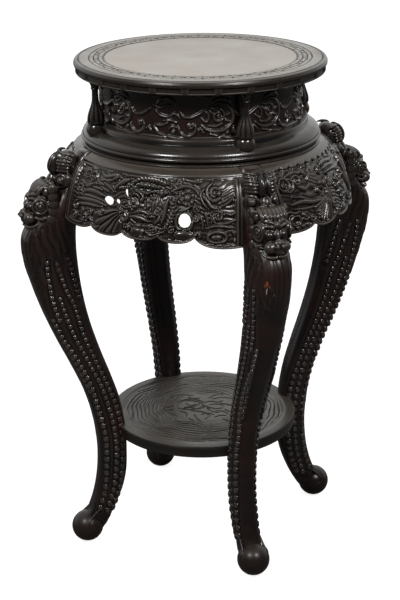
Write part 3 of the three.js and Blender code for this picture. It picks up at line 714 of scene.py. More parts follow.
    # the flower and the curls round the pierced oval
    b.dome((73, 71), 5, 5, crest=0.4)
    b.ring((73, 71), 10, 9, 2.2, crest=0.2)
    b.petals((73, 71), 9.5, 9, 6, 20, 3.4, 3.4, 0.3)
    b.ridge([(46, 78), (58, 84), (72, 87), (86, 82), (93, 72)], 2.4)
    b.ring((69, 37), 12.5, 14.5, 2.4, crest=0.1)
    b.each(b.curl, ((50, 24), 5.5, 60, 1.2, 1.9), ((88, 55), 5.5, 240, -1.3, 1.9),
           ((87, 42), 5, 160, 1.2, 1.8))
    b.ridge([(80, 60), (70, 54), (60, 52)], 2.0)
    b.dome((68, 16), 15, 7.5, crest=0.3, rise=4.2)
    # the lowest middle lobe
    b.each(b.dome, ((-4, 16), 11, 9, 0.9, 4.6), ((3, 9), 4.4, 2.8, 1.2, 2.4), ((-2, 27), 6, 3.2, 0.5))
    b.each(b.curl, ((-22, 22), 5.5, 300, 1.2, 1.9), ((22, 22), 6.5, 200, -1.3, 2.1))
    b.ridge([(10, 20), (18, 14), (30, 17), (38, 21)], 2.2)
    # the right end: a great spiral, a band and leaves
    b.curl((116, 77), 14, 100, 1.6, 2.7, crest=0.2)
    b.dome((123, 76), 3.6, 3.6, crest=1.2)
    b.each(b.ridge, ([(91, 80), (97, 73), (105, 66), (111, 58), (124, 54)], 2.7, 0.6),
           ([(100, 84), (94, 74), (98, 64), (104, 56)], 2.0))
    b.curl((120, 45), 7.5, 120, -1.4, 2.1, crest=0.3)
    b.each(b.ridge, ([(113, 44), (115, 35), (122, 32), (134, 34), (147, 38)], 2.3),
           ([(100, 50), (104, 40), (104, 30)], 2.0), ([(108, 50), (110, 40), (109, 30)], 1.8),
           ([(94, 44), (97, 34), (96, 24)], 1.9))
    b.dome((134, 66), 6.5, 3.2, crest=0.4, tilt=25)
    b.each(b.ridge, ([(128, 59), (138, 64), (146, 72)], 2.1), ([(132, 48), (140, 46), (146, 48)], 1.9),
           ([(102, 27), (114, 30), (130, 29), (142, 26)], 2.1))
    b.ring((118, 13), 14, 8.5, 2.4, crest=0.2)
    b.each(b.dome, ((117, 13), 8.5, 4.2, -0.3), ((85, 16), 2.6, 5.4, 0.4, 3.4, -20),
           ((92, 17), 2.6, 5.4, 0.4, 3.4, 20))
    b.ridge([(140, 22), (146, 12), (142, 4)], 2.4)
    for across, up in ((98, 4.5), (109, 1.5), (121, 0.5), (133, -0.5), (145, 0)):
        b.dome((across, up), 5.2, 2.8, crest=-0.2, rise=3)


def carve_bird(b):
    """Birds and blossom among rocks, for the other two aprons."""
    b.ridge([(-132, 88), (-118, 91), (-100, 90), (-88, 92)], 2.4)
    for points, half in (
        ([(-112, 73), (-96, 66), (-84, 72)], 3.0), ([(-92, 90), (-84, 84), (-78, 88), (-68, 92)], 2.6),
        ([(-40, 90), (-20, 92), (6, 90), (28, 92)], 2.8), ([(-38, 84), (-16, 86), (10, 83)], 2.8),
        ([(-36, 78), (-14, 79), (12, 77), (34, 80)], 2.4), ([(-132, 60), (-116, 58), (-102, 52)], 2.6),
    ):
        b.ridge(points, half)
    b.ring((-138, 78), 10, 9, 2.2, crest=0.2, first=-160, last=170)
    b.dome((-141, 77), 4, 4, crest=0.8)
    b.ridge([(-128, 86), (-120, 80), (-122, 70), (-132, 66)], 2.2)
    b.curl((-110, 80), 8, 140, -1.3, 2.3)
    b.ridge([(-86, 78), (-80, 84), (-72, 91)], 2.8, crest=0.7, pattern=strands)
    b.curl((-46, 84), 6, 40, 1.2, 2.0)
    b.ridge([(-80, 66), (-72, 60), (-62, 53)], 3.0, crest=0.6)
    b.each(b.pit, ((-84, 62), 12, 5.5, 6.2), ((-116, 62), 12, 4, 5.6))
    b.dome((-150, 53), 6, 7.5, crest=0.3)
    b.each(b.ridge, ([(-134, 48), (-110, 49), (-88, 45), (-66, 44)], 3.3, 0.6),
           ([(-128, 41), (-104, 38), (-84, 38)], 2.2))
    b.fan((-42, 48), 196, 262, 10, 44, 8, 3.0, crest=0.0)
    b.ridge([(-46, 50), (-38, 60), (-24, 60), (-12, 56)], 4.6, crest=0.7, rise=4, pattern=scales)
    b.each(b.dome, ((-46, 66), 6, 5, 0.5), ((-37, 69), 4.4, 5.4, 0.6), ((-58, 68), 4, 3.6, 0.4))
    b.ring((-127, 23), 9, 8, 2.3, crest=0.1)
    b.pit((-127, 23), 6, 5, 5.8)
    b.each(b.curl, ((-106, 28), 7, 220, 1.3, 2.1), ((-92, 22), 6.5, 0, -1.2, 2.0))
    b.ridge([(-148, 34), (-140, 38), (-128, 35), (-116, 36)], 2.3)
    for across, up in ((-146, 12), (-136, 13), (-124, 12), (-113, 13), (-103, 14), (-94, 11), (-78, 7),
                       (-66, 7), (-54, 8)):
        b.dome((across, up), 4.8, 3.2, crest=0, rise=3)
    b.each(b.curl, ((-30, 30), 7, 100, 1.3, 2.2, 0.3), ((-18, 16), 6.5, 210, -1.3, 2.1))
    b.dome((2, 14), 9, 8, crest=0.6, rise=4.4)
    # the blossom in the middle
    b.petals((6, 52), 13, 12, 8, 0, 6.4, 4.2, 0.3)
    b.dome((6, 52), 6, 6, crest=1.2, pattern=stamens)
    b.curl((6, 31), 6, 270, 1.2, 2.0)
    # the other bird, with its wing raised
    b.fan((48, 46), 20, 88, 12, 40, 8, 2.9, crest=0.1)
    b.ridge([(24, 66), (34, 60), (46, 50), (58, 42), (74, 40)], 6.2, crest=0.9, rise=4.4, pattern=scales)
    b.each(b.dome, ((25, 68), 6, 5, 0.9), ((24, 69), 1.6, 1.6, 1.6, 1.5))
    b.ring((69, 37), 12, 14, 2.3, crest=0.1)
    b.fan((78, 34), 300, 352, 8, 34, 5, 2.5)
    b.ridge([(84, 84), (98, 78), (112, 82), (128, 86)], 3.0)
    b.each(b.curl, ((104, 66), 9, 20, 1.4, 2.4, 0.3), ((126, 70), 8, 160, -1.4, 2.3, 0.3))
    b.each(b.ridge, ([(94, 52), (108, 50), (122, 54), (138, 52)], 3.0, 0.4),
           ([(108, 42), (122, 40), (142, 42)], 2.4))
    b.each(b.curl, ((134, 26), 8, 100, 1.4, 2.3), ((112, 24), 7, 300, -1.3, 2.1))
    b.dome((64, 14), 13, 6, crest=0.1)
    b.curl((40, 24), 7, 200, 1.3, 2.1)
    b.ridge([(24, 12), (34, 14), (44, 12)], 2.1)
    for across, up in ((92, 8), (104, 5), (117, 3.5), (130, 2.5), (143, 2.5)):
        b.dome((across, up), 5.4, 3, crest=-0.1, rise=3)
    for across in (-70, -30, 15, 60):
        b.dome((across, 91), 5, 3, crest=0.2)


def pierce(piece, holes):
    """Cuts oval holes through a board whose middle is on +X."""
    for across, height, half_width, half_height in holes:
        # The drill is a tapered bit: the hole's size where it meets the carved face, and wider behind it.
        face = math.sqrt((apron_radius(height) - 3) ** 2 - across ** 2) * MM
        bpy.ops.mesh.primitive_cone_add(vertices=40, radius1=3.1, radius2=0.15, depth=0.042,
                                        location=(face - 0.009, 0, 0), rotation=(0, math.pi / 2, 0))
        drill = bpy.context.object
        place_in_mesh(drill)
        drill.data.transform(Matrix.Diagonal((1, half_width * MM, half_height * MM, 1)))
        drill.data.transform(Matrix.Translation((0, across * MM, height * MM)))
        cut_away(piece, drill)


def carve_slots(b):
    """A row of dark slots cut up into the plain band over the birds."""
    for k in range(13):
        b.pit((-132 + 22 * k, 96.5), 5.6, 2.6, 4.8)


def apron(name, carve, slots=False):
    """One carved apron with its middle on +X."""
    across, height = apron_grid(146, 392)
    board = Carving(across, height - APRON_BASE, GROUND)
    carve_ground(board)
    carve(board)
    carve_frame(board, height[0] - APRON_BASE, side_reach(height))
    if slots:
        carve_slots(board)
    board.settle()
    front = apron_points(across, height, board.height)
    back = apron_points(*apron_grid(24, 60), 0)
    radius = np.hypot(back[..., 0], back[..., 1])
    back[..., :2] *= ((radius - APRON_THICKNESS) / radius)[..., None]
    piece = slab(name, front, back)
    pierce(piece, PIERCINGS)
    piece.data.shade_smooth()
    mark_shade_and_wear(piece)
    return piece


dragon_apron, bird_apron = apron("dragon_apron", carve_dragon), apron("bird_apron", carve_bird, slots=True)
set_round(dragon_apron, "apron_carved", carved, "apron", DRAGON_PLACES)
set_round(bird_apron, "apron_carved", carved, "apron", BIRD_PLACES)

# ---------------------------------------------------------------- the waist


def carve_waist(b):
    """Cloud scrolls in low relief along the waist."""
    for x in (-128, -43, 42, 127):
        # a smiling cloud with a rolled end, and the wing-like cloud over it
        b.ridge([(x - 12, 18), (x - 7, 8), (x + 2, 4), (x + 11, 7), (x + 16, 16), (x + 12, 24)], 2.6,
                crest=0.5, taper=0.5)
        b.curl((x + 7, 20), 5, 40, -1.1, 1.7, crest=0.3)
        b.dome((x - 20, 9), 3.4, 4.8, crest=0.4)
        b.each(b.ridge, ([(x - 28, 12), (x - 22, 18), (x - 13, 17)], 2.0),
               ([(x - 48, 42), (x - 40, 35), (x - 28, 33), (x - 16, 38), (x - 8, 31)], 2.5, 0.4),
               ([(x - 8, 41), (x - 3, 34), (x + 8, 33), (x + 18, 37), (x + 27, 43)], 2.5, 0.4),
               ([(x - 36, 26), (x - 24, 28), (x - 14, 24)], 2.1, 0.2),
               ([(x - 50, 20), (x - 38, 19), (x - 28, 24)], 2.1, 0.2),
               ([(x - 62, 16), (x - 56, 8)], 2.4, 0.4), ([(x - 52, 17), (x - 44, 7), (x - 34, 4)], 2.4, 0.4),
               ([(x - 30, 3), (x - 20, 2), (x - 8, -1)], 2.0), ([(x + 18, 10), (x + 24, 18)], 1.8))
        # the arched cloud near the top
        b.each(b.ridge, ([(x - 46, 50), (x - 40, 58), (x - 28, 61), (x - 18, 57), (x - 16, 50)], 2.6, 0.5),
               ([(x - 40, 48), (x - 30, 52), (x - 22, 49)], 1.8))
    for x in (-77, 93):
        # a great C-shaped scroll
        b.ridge([(x - 26, 20), (x - 18, 14), (x - 4, 11), (x + 11, 14), (x + 21, 24), (x + 22, 38),
                 (x + 13, 50), (x - 2, 54), (x - 14, 49)], 2.8, crest=0.5)
        b.curl((x - 1, 35), 12, 120, -1.4, 2.2, crest=0.4)
        b.ridge([(x - 27, 32), (x - 19, 26), (x - 15, 36), (x - 22, 44)], 2.0)
    for x in (-100, -15, 70):
        b.each(b.ridge, ([(x - 18, 63), (x - 6, 66), (x + 6, 63), (x + 18, 66)], 1.8),
               ([(x + 6, 50), (x + 16, 46), (x + 26, 51)], 2.0))


WAIST_ARC = 164  # the radius on which the distance across is measured
WAIST_FACE, WAIST_BACK = 163.6, 153  # radii
WAIST_FOOT, WAIST_HEIGHT = 731.5, 74


def waist_points(across, up, radius):
    """Points of the waist whose middle is on +X, at a distance across and up and at a radius."""
    turn = across / WAIST_ARC
    return np.stack([radius * np.cos(turn), radius * np.sin(turn), WAIST_FOOT + up], -1)


def waist_panel():
    """One quarter of the waist with its middle on +X."""
    reach = WAIST_ARC * math.pi / 4 - 0.15
    across, up = np.meshgrid(np.linspace(-reach, reach, 290), np.linspace(0, WAIST_HEIGHT, 84))
    board = Carving(across, up, -2.8)
    carve_waist(board)
    board.height += np.interp(up, [0, 1.6, 2.4, 69, 70.5, 74], [1.4, 1.4, 0, 0, 2.0, 2.0])
    board.settle()
    front = waist_points(across, up, WAIST_FACE + board.height)
    across, up = np.meshgrid(np.linspace(-reach, reach, 40), np.linspace(0, WAIST_HEIGHT, 6))
    piece = slab("waist_panel", front, waist_points(across, up, WAIST_BACK))
    mark_shade_and_wear(piece)
    return piece


set_round(waist_panel(), "waist_carved", waist_wood, "waist_panel", WAIST_PLACES)

# ---------------------------------------------------------------- the collar and the drops

DROP_AXIS = 178.5  # how far a drop's own axis stands from the stand's
BALL_HEIGHT = 724.5

# The collar's mouldings from its foot up: two beads, a sloping shoulder and an upright band.
collar = turned("collar_moulded", np.vstack([
    [(153, 693.5)],
    smooth_line([(191.5, 693.5), (193, 694.2), (193.2, 695.6), (190.5, 697), (187, 698.3)], 4),
    smooth_line([(187.6, 700.2), (190, 701), (193, 701.8), (194, 703.8), (193.2, 705.8), (191.8, 706.6)], 5),
    smooth_line([(191.6, 707.4), (192, 708.4), (190.8, 712), (187.4, 716), (181.6, 719.6), (175.6, 721.9)],
                5),
    [(173.4, 722.6), (173, 723.2)], smooth_line([(173.2, 729.8), (172.4, 731), (171, 731.2)], 3),
    [(153, 731.2)]]), steps=240)
for degrees in LEG_PLACES.values():
    # Each drop's ball sits in a round seat.
    bpy.ops.mesh.primitive_uv_sphere_add(segments=48, ring_count=32, radius=15.8 * MM)
    seat = bpy.context.object
    seat.data.transform(Matrix.Translation((DROP_AXIS * MM, 0, BALL_HEIGHT * MM)))
    cut_away(collar, placed(seat, degrees))
select_only(collar)
bpy.ops.object.shade_smooth_by_angle(angle=math.radians(50))
mark_shade_and_wear(collar, 3, 0.4)
finish(collar, plain, *[f"collar_quarter_{k}" for k in (1, 2, 3, 4)])


def fluted_drop():
    """A drop in front of the waist: a flared head, a ring, a slim neck, a fluted bell and a ball."""
    ball = np.radians(np.linspace(-84, 38, 14))
    outline = np.vstack([
        [(0, 709.2)], np.stack([15.3 * np.cos(ball), BALL_HEIGHT + 15.3 * np.sin(ball)], 1),
        smooth_line([(13.4, 736.4), (13.6, 740), (13.0, 746), (11.0, 753), (8.2, 761), (5.8, 770),
                     (5.0, 784)], 5),
        smooth_line([(5.4, 788), (6.8, 789.6), (6.2, 791.4)], 3),
        smooth_line([(6.4, 793.6), (8.6, 799), (11.8, 803.6), (12.2, 805.3)], 4), [(0, 805.3)]])
    piece = turned("drop", outline, steps=72, closed=False, centre=(DROP_AXIS, 0))
    for vertex in piece.data.vertices:
        x, y, z = vertex.co / MM
        turn = math.atan2(y, x - DROP_AXIS)
        flute = float(np.interp(z, [735, 738, 758, 772], [0, 1, 1, 0]))
        scale = 1 + flute * 0.2 * (abs(math.cos(turn * 4.5)) - 0.8)
        vertex.co = ((DROP_AXIS + (x - DROP_AXIS) * scale) * MM, y * scale * MM, z * MM)
    mark_shade_and_wear(piece, 4, 0.3)
    return piece


set_round(fluted_drop(), "waist_drop_turned", plain, "waist_drop", LEG_PLACES)

# ---------------------------------------------------------------- the top frame


def groove(gap, half):
    """The share of full depth at a distance from a groove's middle."""
    return np.clip(1.35 - np.abs(gap) / half, 0, 1)


FRET_RINGS = (178, 170.7, 163.4, 156)
FRET_CELL, FRET_START = 15, 73.5  # degrees from one cartouche to the next, and to the first


def fret(radius, degrees):
    """The depth of the key fret in the frame's upper face: long cartouches between tabs, in ring lines."""
    depth = np.zeros(np.broadcast(radius, degrees).shape)
    for ring in FRET_RINGS:
        depth = np.maximum(depth, groove(radius - ring, 0.95))
    half_cell = FRET_CELL / 2
    off = ((degrees + FRET_START + half_cell) % FRET_CELL - half_cell) * math.pi / 180 * radius
    middle = ((degrees + FRET_START) % FRET_CELL - half_cell) * math.pi / 180 * radius
    ends = np.maximum(groove(np.abs(off) - 5.0, 1.5),
                      groove(np.abs(off) - 9.4, 0.9) * (np.abs(radius - 167) < 2.2))
    tab = groove(middle, 1.3)
    for outer, inner, cut in zip(FRET_RINGS, FRET_RINGS[1:], (tab, ends, tab)):
        depth = np.where((radius > inner) & (radius < outer), np.maximum(depth, cut), depth)
    return depth


def top_frame():
    """The frame round the panel: a fret on its upper face and sunk oblongs round its rim."""
    outline = np.vstack([
        [(130, 805.8)], [(197.4, 805.8)], smooth_line([(198.4, 805.9), (200, 806.8), (200.6, 808.2)], 3),
        [(200.6, z) for z in np.arange(808.8, 816, 0.75)],
        smooth_line([(200.7, 816.6), (201.6, 817.2), (202.4, 817.8)], 2),
        smooth_line([(202.7, 818.6), (203, 820.6), (202.7, 822.4), (201.9, 823.6)], 3),
        smooth_line([(201.7, 824.2), (200.9, 825.4), (199.4, 826.3), (197, 826.9)], 3),
        smooth_line([(196.2, 825.6), (195.4, 825.2), (194.4, 825.8), (193.6, 827)], 2),
        [(186, 827), (182, 827), (180, 827)], [(r, 827) for r in np.arange(179.4, 154.8, -0.62)],
        [(154.4, 826.6), (154, 826), (154, 817.1), (130, 817.1)]])
    steps, count = 900, len(outline)
    radius, height = np.repeat(outline[None], steps, 0).transpose(2, 0, 1)
    angle = np.repeat((np.arange(steps) * 360 / steps)[:, None], count, 1)
    upper_face = (height > 826.95) & (radius < 180.5)
    # Twenty-five oblongs are sunk into the rim.
    cell = ((angle + 59.4 + 7.2) % 14.4) - 7.2
    sunk = (height > 808.6) & (height < 815.6) & (np.abs(cell) > 1.75)
    corner = np.clip((np.abs(cell) - 1.6) / 0.4, 0, 1)
    height = height - np.where(upper_face, fret(radius, angle), 0) * 1.5
    radius = radius - np.where(sunk, 2.6 * corner, 0)
    turn = np.radians(angle)
    points = np.stack([radius * np.cos(turn), radius * np.sin(turn), height], -1)
    faces = np.array(grid_faces(steps + 1, count, closed=True)) % (steps * count)
    return shell("top_frame_carved", points, faces.tolist())


frame_ring = top_frame()
select_only(frame_ring)
bpy.ops.object.shade_smooth_by_angle(angle=math.radians(40))
mark_shade_and_wear(frame_ring, 2, 0.22)
finish(frame_ring, greyed, *[f"top_frame_quarter_{k}" for k in (1, 2, 3, 4)])

# ---------------------------------------------------------------- the shelf


def carve_shelf(b):
    """A loose figure of strokes cut in the middle of the shelf."""
    for points in (
        [(-45, 15), (-35, 28), (-10, 25), (0, 10), (-5, -2), (-25, -8), (-45, 0), (-45, 15)],
        [(0, 10), (20, -5), (34, -2)], [(-15, -30), (-12, -42), (-5, -55)], [(20, -40), (30, -33), (40, -33)],
        [(10, 40), (22, 52), (40, 60)], [(16, 36), (34, 42), (52, 38)], [(-30, 18), (-22, 8), (-12, 14)],
        [(-60, -20), (-46, -34), (-50, -50), (-38, -62)], [(-20, -12), (2, -20), (10, -34), (4, -48)],
        [(30, 18), (46, 10), (58, -6), (52, -22)], [(-64, 30), (-56, 48), (-38, 56), (-18, 50)],
        [(34, -48), (48, -56), (62, -46)], [(-8, 66), (8, 72), (26, 70)], [(64, 20), (70, 6), (66, -8)],
        [(-32, 2), (-18, 4), (-8, 12), (-2, 24)], [(4, 22), (14, 26), (26, 22), (34, 28)],
        [(8, -2), (14, -16), (28, -22)], [(-52, 8), (-62, 2), (-70, 6)], [(-40, -14), (-30, -22), (-30, -36)],
        [(38, -8), (46, -18), (60, -24)], [(-6, 40), (-18, 38), (-26, 44)], [(-2, -28), (8, -24), (18, -30)],
        [(-46, 24), (-30, 34), (-12, 33), (4, 20)], [(-36, -4), (-22, 0), (-10, -6), (2, 2)],
        [(12, 12), (24, 14), (36, 8)], [(-70, -4), (-60, -10), (-52, -6)], [(22, -14), (34, -16), (44, -28)],
        [(-24, -44), (-18, -56), (-24, -66)],
    ):
        # A ridge whose rise is below 0 is a groove.
        b.ridge(smooth_line(points, 8), 2.5, crest=-1.28, rise=-1.92, taper=0.6, edge=0, smooth=1)


SHELF_BORDER, SHELF_FIELD, SHELF_UNDER = 211, 210.2, 191  # heights


def shelf():
    """The shelf: a disc with a soft edge, a plain border and a sunk field of gouged lines."""
    radii = np.concatenate([np.arange(1.0, 141.5, 0.95), [142.2, 143.5, 148, 154]])
    steps = 420
    turn = np.arange(steps) * 2 * math.pi / steps
    ring, angle = np.meshgrid(radii, turn, indexing="ij")
    board = Carving(ring * np.cos(angle), ring * np.sin(angle), 0.0)
    # Wavering arcs round the field: strong ones and, where they break off, finer ones.
    drift = (4.0 * np.sin(3 * angle + 1) + 2.2 * np.sin(7 * angle + ring / 30)
             + 1.2 * np.sin(13 * angle - ring / 12))
    arcs = np.sin(2 * math.pi * (ring + drift) / 7.4)
    fine = np.sin(2 * math.pi * (ring - 0.6 * drift) / 3.9)
    show = np.interp(ring, [48, 76, 134, 140], [0, 1, 1, 0])
    broken = np.clip(0.5 + 0.8 * np.sin(4 * angle + ring / 11) * np.sin(2.0 * angle - ring / 15), 0, 1)
    broad = np.clip(np.sin(2 * angle + 0.8 + ring / 40) * np.sin(2 * math.pi * (ring + 2 * drift) / 31), 0, 1)
    board.height = -show * (1.9 * broken * np.clip(arcs, 0, 1) ** 2 + 0.7 * (1 - broken) * np.clip(fine, 0, 1)
                            + 0.9 * broad)
    carve_shelf(board)
    top = np.where(ring < 141.2, SHELF_FIELD + board.height,
                   np.interp(ring, [141.2, 142.6], [SHELF_FIELD, SHELF_BORDER]))
    edge = np.vstack([smooth_line([(157.9, 210.95), (158.6, 210.6), (158.95, 209.8)], 3),
                      [(159, 206), (159, 202), (159, 198)],
                      smooth_line([(158.9, 194), (158, 192), (156, 191.1), (153, SHELF_UNDER)], 3),
                      [(140, SHELF_UNDER), (60, SHELF_UNDER)]])
    ring = np.vstack([ring, np.repeat(edge[:, :1], steps, 1)])
    top = np.vstack([top, np.repeat(edge[:, 1:], steps, 1)])
    points = np.stack([ring * np.cos(turn), ring * np.sin(turn), top], -1).reshape(-1, 3)
    return shell("shelf_gouged", np.vstack([points, [(0, 0, SHELF_FIELD), (0, 0, SHELF_UNDER)]]),
                 capped_faces(len(ring), steps))


shelf_disc = placed(shelf(), 22.9)
mark_shade_and_wear(shelf_disc, 4, 0.4)
finish(shelf_disc, gouged, "shelf")

# ---------------------------------------------------------------- the legs

# A leg's line from its shoulder to its foot: outer [radius, height], inner [radius, height] and width.
LEG = ((192, 708, 158, 702, 37), (214, 685, 178, 668, 42), (226, 671, 188, 650, 46), (240, 646, 200, 628, 53),
       (258, 620, 212, 604, 58), (285, 596, 219, 580, 61), (307, 561, 221, 548, 62),
       (306, 520.3, 219, 508.3, 61), (294, 474.8, 213.5, 461.8, 58), (279, 430.3, 203.5, 412.3, 55),
       (258.3, 379.9, 187.3, 357.9, 52), (233.5, 326, 169, 306, 49),
       (213.5, 277.8, 155, 261.8, 46), (199.5, 225, 146.5, 214, 44),
       (193.5, 172, 144, 168, 43), (195.2, 128.1, 145.7, 126.1, 42.5), (201.7, 91.9, 151.7, 97.9, 42.5),
       (212, 62, 166, 62, 41), (222, 42, 183, 31, 38), (224, 26, 200, 9, 29))
LEG_ROWS = 16  # between two of the places above
LEG_COLUMNS = 128
LEG_ROUND = 2.6  # 2 gives an oval section and larger numbers a squarer one
# The bead rows on a leg's sides, as [radius, height] down each one.
BEAD_ROWS = (
    ((277, 523), (276, 501), (273, 480), (267, 446), (259, 420)),
    ((257, 458), (247, 424), (236, 392), (212, 339), (190, 289), (174, 232), (167.5, 190), (167.5, 153),
     (172, 107), (181, 73), (190, 46)),
    ((261, 520), (246, 471), (232, 440), (219.5, 391), (199, 338), (182, 297), (167, 256), (156.5, 208),
     (154.5, 173), (157, 127), (163, 91), (178, 50)),
    ((242.5, 526), (236, 508), (229, 478), (222, 452)),
    ((246, 372), (226, 335), (208, 293), (196.5, 247), (186.5, 205), (184.5, 154), (189.5, 96), (199.5, 62)),
    ((268, 420), (249, 375), (226, 325), (208, 282)),
)
# The locks of the mane that run back and down from the head, as [radius, height].
MANE = (
    ((292, 572), (290, 552), (284, 536), (284, 518)), ((281, 580), (279, 560), (271, 545), (269, 528)),
    ((270, 588), (268, 566), (260, 550), (256, 530)), ((258, 594), (256, 572), (249, 556), (246, 534)),
    ((246, 596), (245, 576), (239, 560), (236, 540)), ((234, 590), (234, 574), (229, 560), (228, 544)),
    ((262, 528), (258, 512), (252, 496)), ((288, 516), (286, 500), (280, 484)),
    ((246, 534), (244, 520), (240, 506)),
)
# The heights of the tips of the long scales on a leg's outer face.
SCALE_TIPS = (546, 528, 495, 457, 422, 388, 355, 325, 293, 262, 222, 190)


def signed_power(values, power):
    """A power of the size of numbers, with their signs."""
    return np.sign(values) * np.abs(values) ** power


def unit_section():
    """A rounded square of side 2 with evenly spaced points, as [outwards, sideways]."""
    turn = np.linspace(0, 2 * math.pi, 4001)
    ring = signed_power(np.stack([np.cos(turn), np.sin(turn)], 1), 2 / LEG_ROUND)
    run = run_along(ring)
    return point_along(ring, run, np.arange(LEG_COLUMNS) * run[-1] / LEG_COLUMNS)


class LegForm:
    """The leg on +X as rows of rounded sections in its middle plane."""

    def __init__(self):
        table = np.array(LEG, float)
        outer, inner = smooth_line(table[:, :2], LEG_ROWS), smooth_line(table[:, 2:4], LEG_ROWS)
        self.middle, self.half = (outer + inner) / 2, (outer - inner) / 2
        self.width = np.interp(np.arange(len(outer)) / LEG_ROWS, np.arange(len(table)), table[:, 4])

    def find(self, place):
        """The row and the share outwards of a point in the leg's plane."""
        gap = place - self.middle
        off = gap[:, 1] * self.half[:, 0] - gap[:, 0] * self.half[:, 1]
        near = np.linalg.norm(gap, axis=1) < 80
        k = np.nonzero(near)[0][np.argmin(np.abs(off[near]))]
        share = float((gap[k] * self.half[k]).sum() / (self.half[k] ** 2).sum())
        return k, max(-0.97, min(0.97, share))


def carve_leg(form):
    """The leg's surface with channels for the beads, locks of mane and the scaled outer face."""
    section = unit_section()
    plane = form.middle[:, None] + form.half[:, None] * section[None, :, :1]
    reach = np.linalg.norm(form.half, axis=1)
    side = form.width[:, None] / 2 * section[None, :, 1]
    lean_out = signed_power(section[:, 0], LEG_ROUND - 1) / reach[:, None]
    lean_side = signed_power(section[:, 1], LEG_ROUND - 1) / (form.width[:, None] / 2)
    size = np.hypot(lean_out, lean_side)
    lean_out, lean_side = lean_out / size, lean_side / size
    # what is on the sides
    board = Carving(plane[..., 0], plane[..., 1], 0.0)
    board.height += 0.15 * np.sin(plane[..., 0] * 0.9 + plane[..., 1] * 0.12)
    for row in BEAD_ROWS:
        line = smooth_line(row, 6)
        found = board.near(line.min(0) - 8, line.max(0) + 8)
        gap = nearest_on(line, np.stack([board.across[found], board.up[found]], 1))[0]
        board.height[found] = np.minimum(board.height[found], -1.3 * np.clip((7.4 - gap) / 1.6, 0, 1))
    for points in MANE:
        board.ridge(points, 5.4, crest=0.5, rise=1.0, taper=0.2, edge=0.6)
    lift = board.height * np.clip((np.abs(lean_side) - 0.2) / 0.25, 0, 1)
    # what is on the outer face: hair under the head, then long overlapping scales
    z, outwards = plane[..., 1], np.clip((lean_out - 0.5) / 0.3, 0, 1)
    hair = np.interp(z, [470, 520, 580, 600], [0, 1, 1, 0])
    locks = np.sin(side * 0.8 + np.sin(z / 31) * 0.9) * (0.6 + 0.4 * np.sin(side * 2.1 + z / 17))
    lift += outwards * hair * 0.55 * locks
    step, bow = np.zeros_like(z), 0.012 * side ** 2
    for high, low in zip(SCALE_TIPS, SCALE_TIPS[1:]):
        share = np.clip((high + bow - z) / (high - low), 0, 1)
        step = np.where((z > low + bow) & (z <= high + bow), 0.8 * share ** 1.5, step)
    lift += outwards * step * np.clip(np.abs(side) / 14 - 0.2, 0.15, 1)
    axis = form.half / reach[:, None]
    place = plane + lift[..., None] * lean_out[..., None] * axis[:, None]
    side = side + lift * lean_side
    return np.stack([place[..., 0], side, place[..., 1]], -1)


def leg_body(form):
    """The carved leg, cut off level under the waist."""
    points = carve_leg(form)
    rows, columns = points.shape[:2]
    caps = points[[0, -1]].mean(1)
    piece = shell("leg_body", np.vstack([points.reshape(-1, 3), caps]), capped_faces(rows, columns))
    cut_flat(piece, APRON_TOP, clear_outer=True)
    piece.data.shade_smooth()
    mark_shade_and_wear(piece, 4, 0.6)
    return piece


BEAD_STOPS, BEAD_SECTORS = (22, 52, 90, 125), 8  # a bead's rings, in degrees from its top, and its sides
# Its tops are rubbed lighter, partly as a painted highlight, and its foot is darkened with the painted shade
# of the channel.
BEAD_SHADE_AND_WEAR = [0.12] + [0.2] * BEAD_SECTORS + [0.42] * BEAD_SECTORS + [0.85] * BEAD_SECTORS * 2 + [1.0]


def bead(seat, along, across, normal, length):
    """The points of one bead from its top down: a dome a little longer than wide, sunk into the wood."""
    points = [seat + 2.3 * normal]
    for stop in np.radians(BEAD_STOPS):
        for turn in np.arange(BEAD_SECTORS) * 2 * math.pi / BEAD_SECTORS:
            points.append(seat + 2.3 * math.cos(stop) * normal + math.sin(stop) * length
                          * (0.48 * math.cos(turn) * along + 0.46 * math.sin(turn) * across))
    return points + [seat - 2.4 * normal]


def bead_faces(first):
    """The faces of a bead whose top is point number first."""
    rings, foot = len(BEAD_STOPS), first + 1 + (len(BEAD_STOPS) - 1) * BEAD_SECTORS
    faces = grid_faces(rings, BEAD_SECTORS, first + 1, closed=True)
    for s in range(BEAD_SECTORS):
        after = (s + 1) % BEAD_SECTORS
        faces.append([first, first + 1 + s, first + 1 + after])
        faces.append([first + 1 + rings * BEAD_SECTORS, foot + after, foot + s])
    return faces


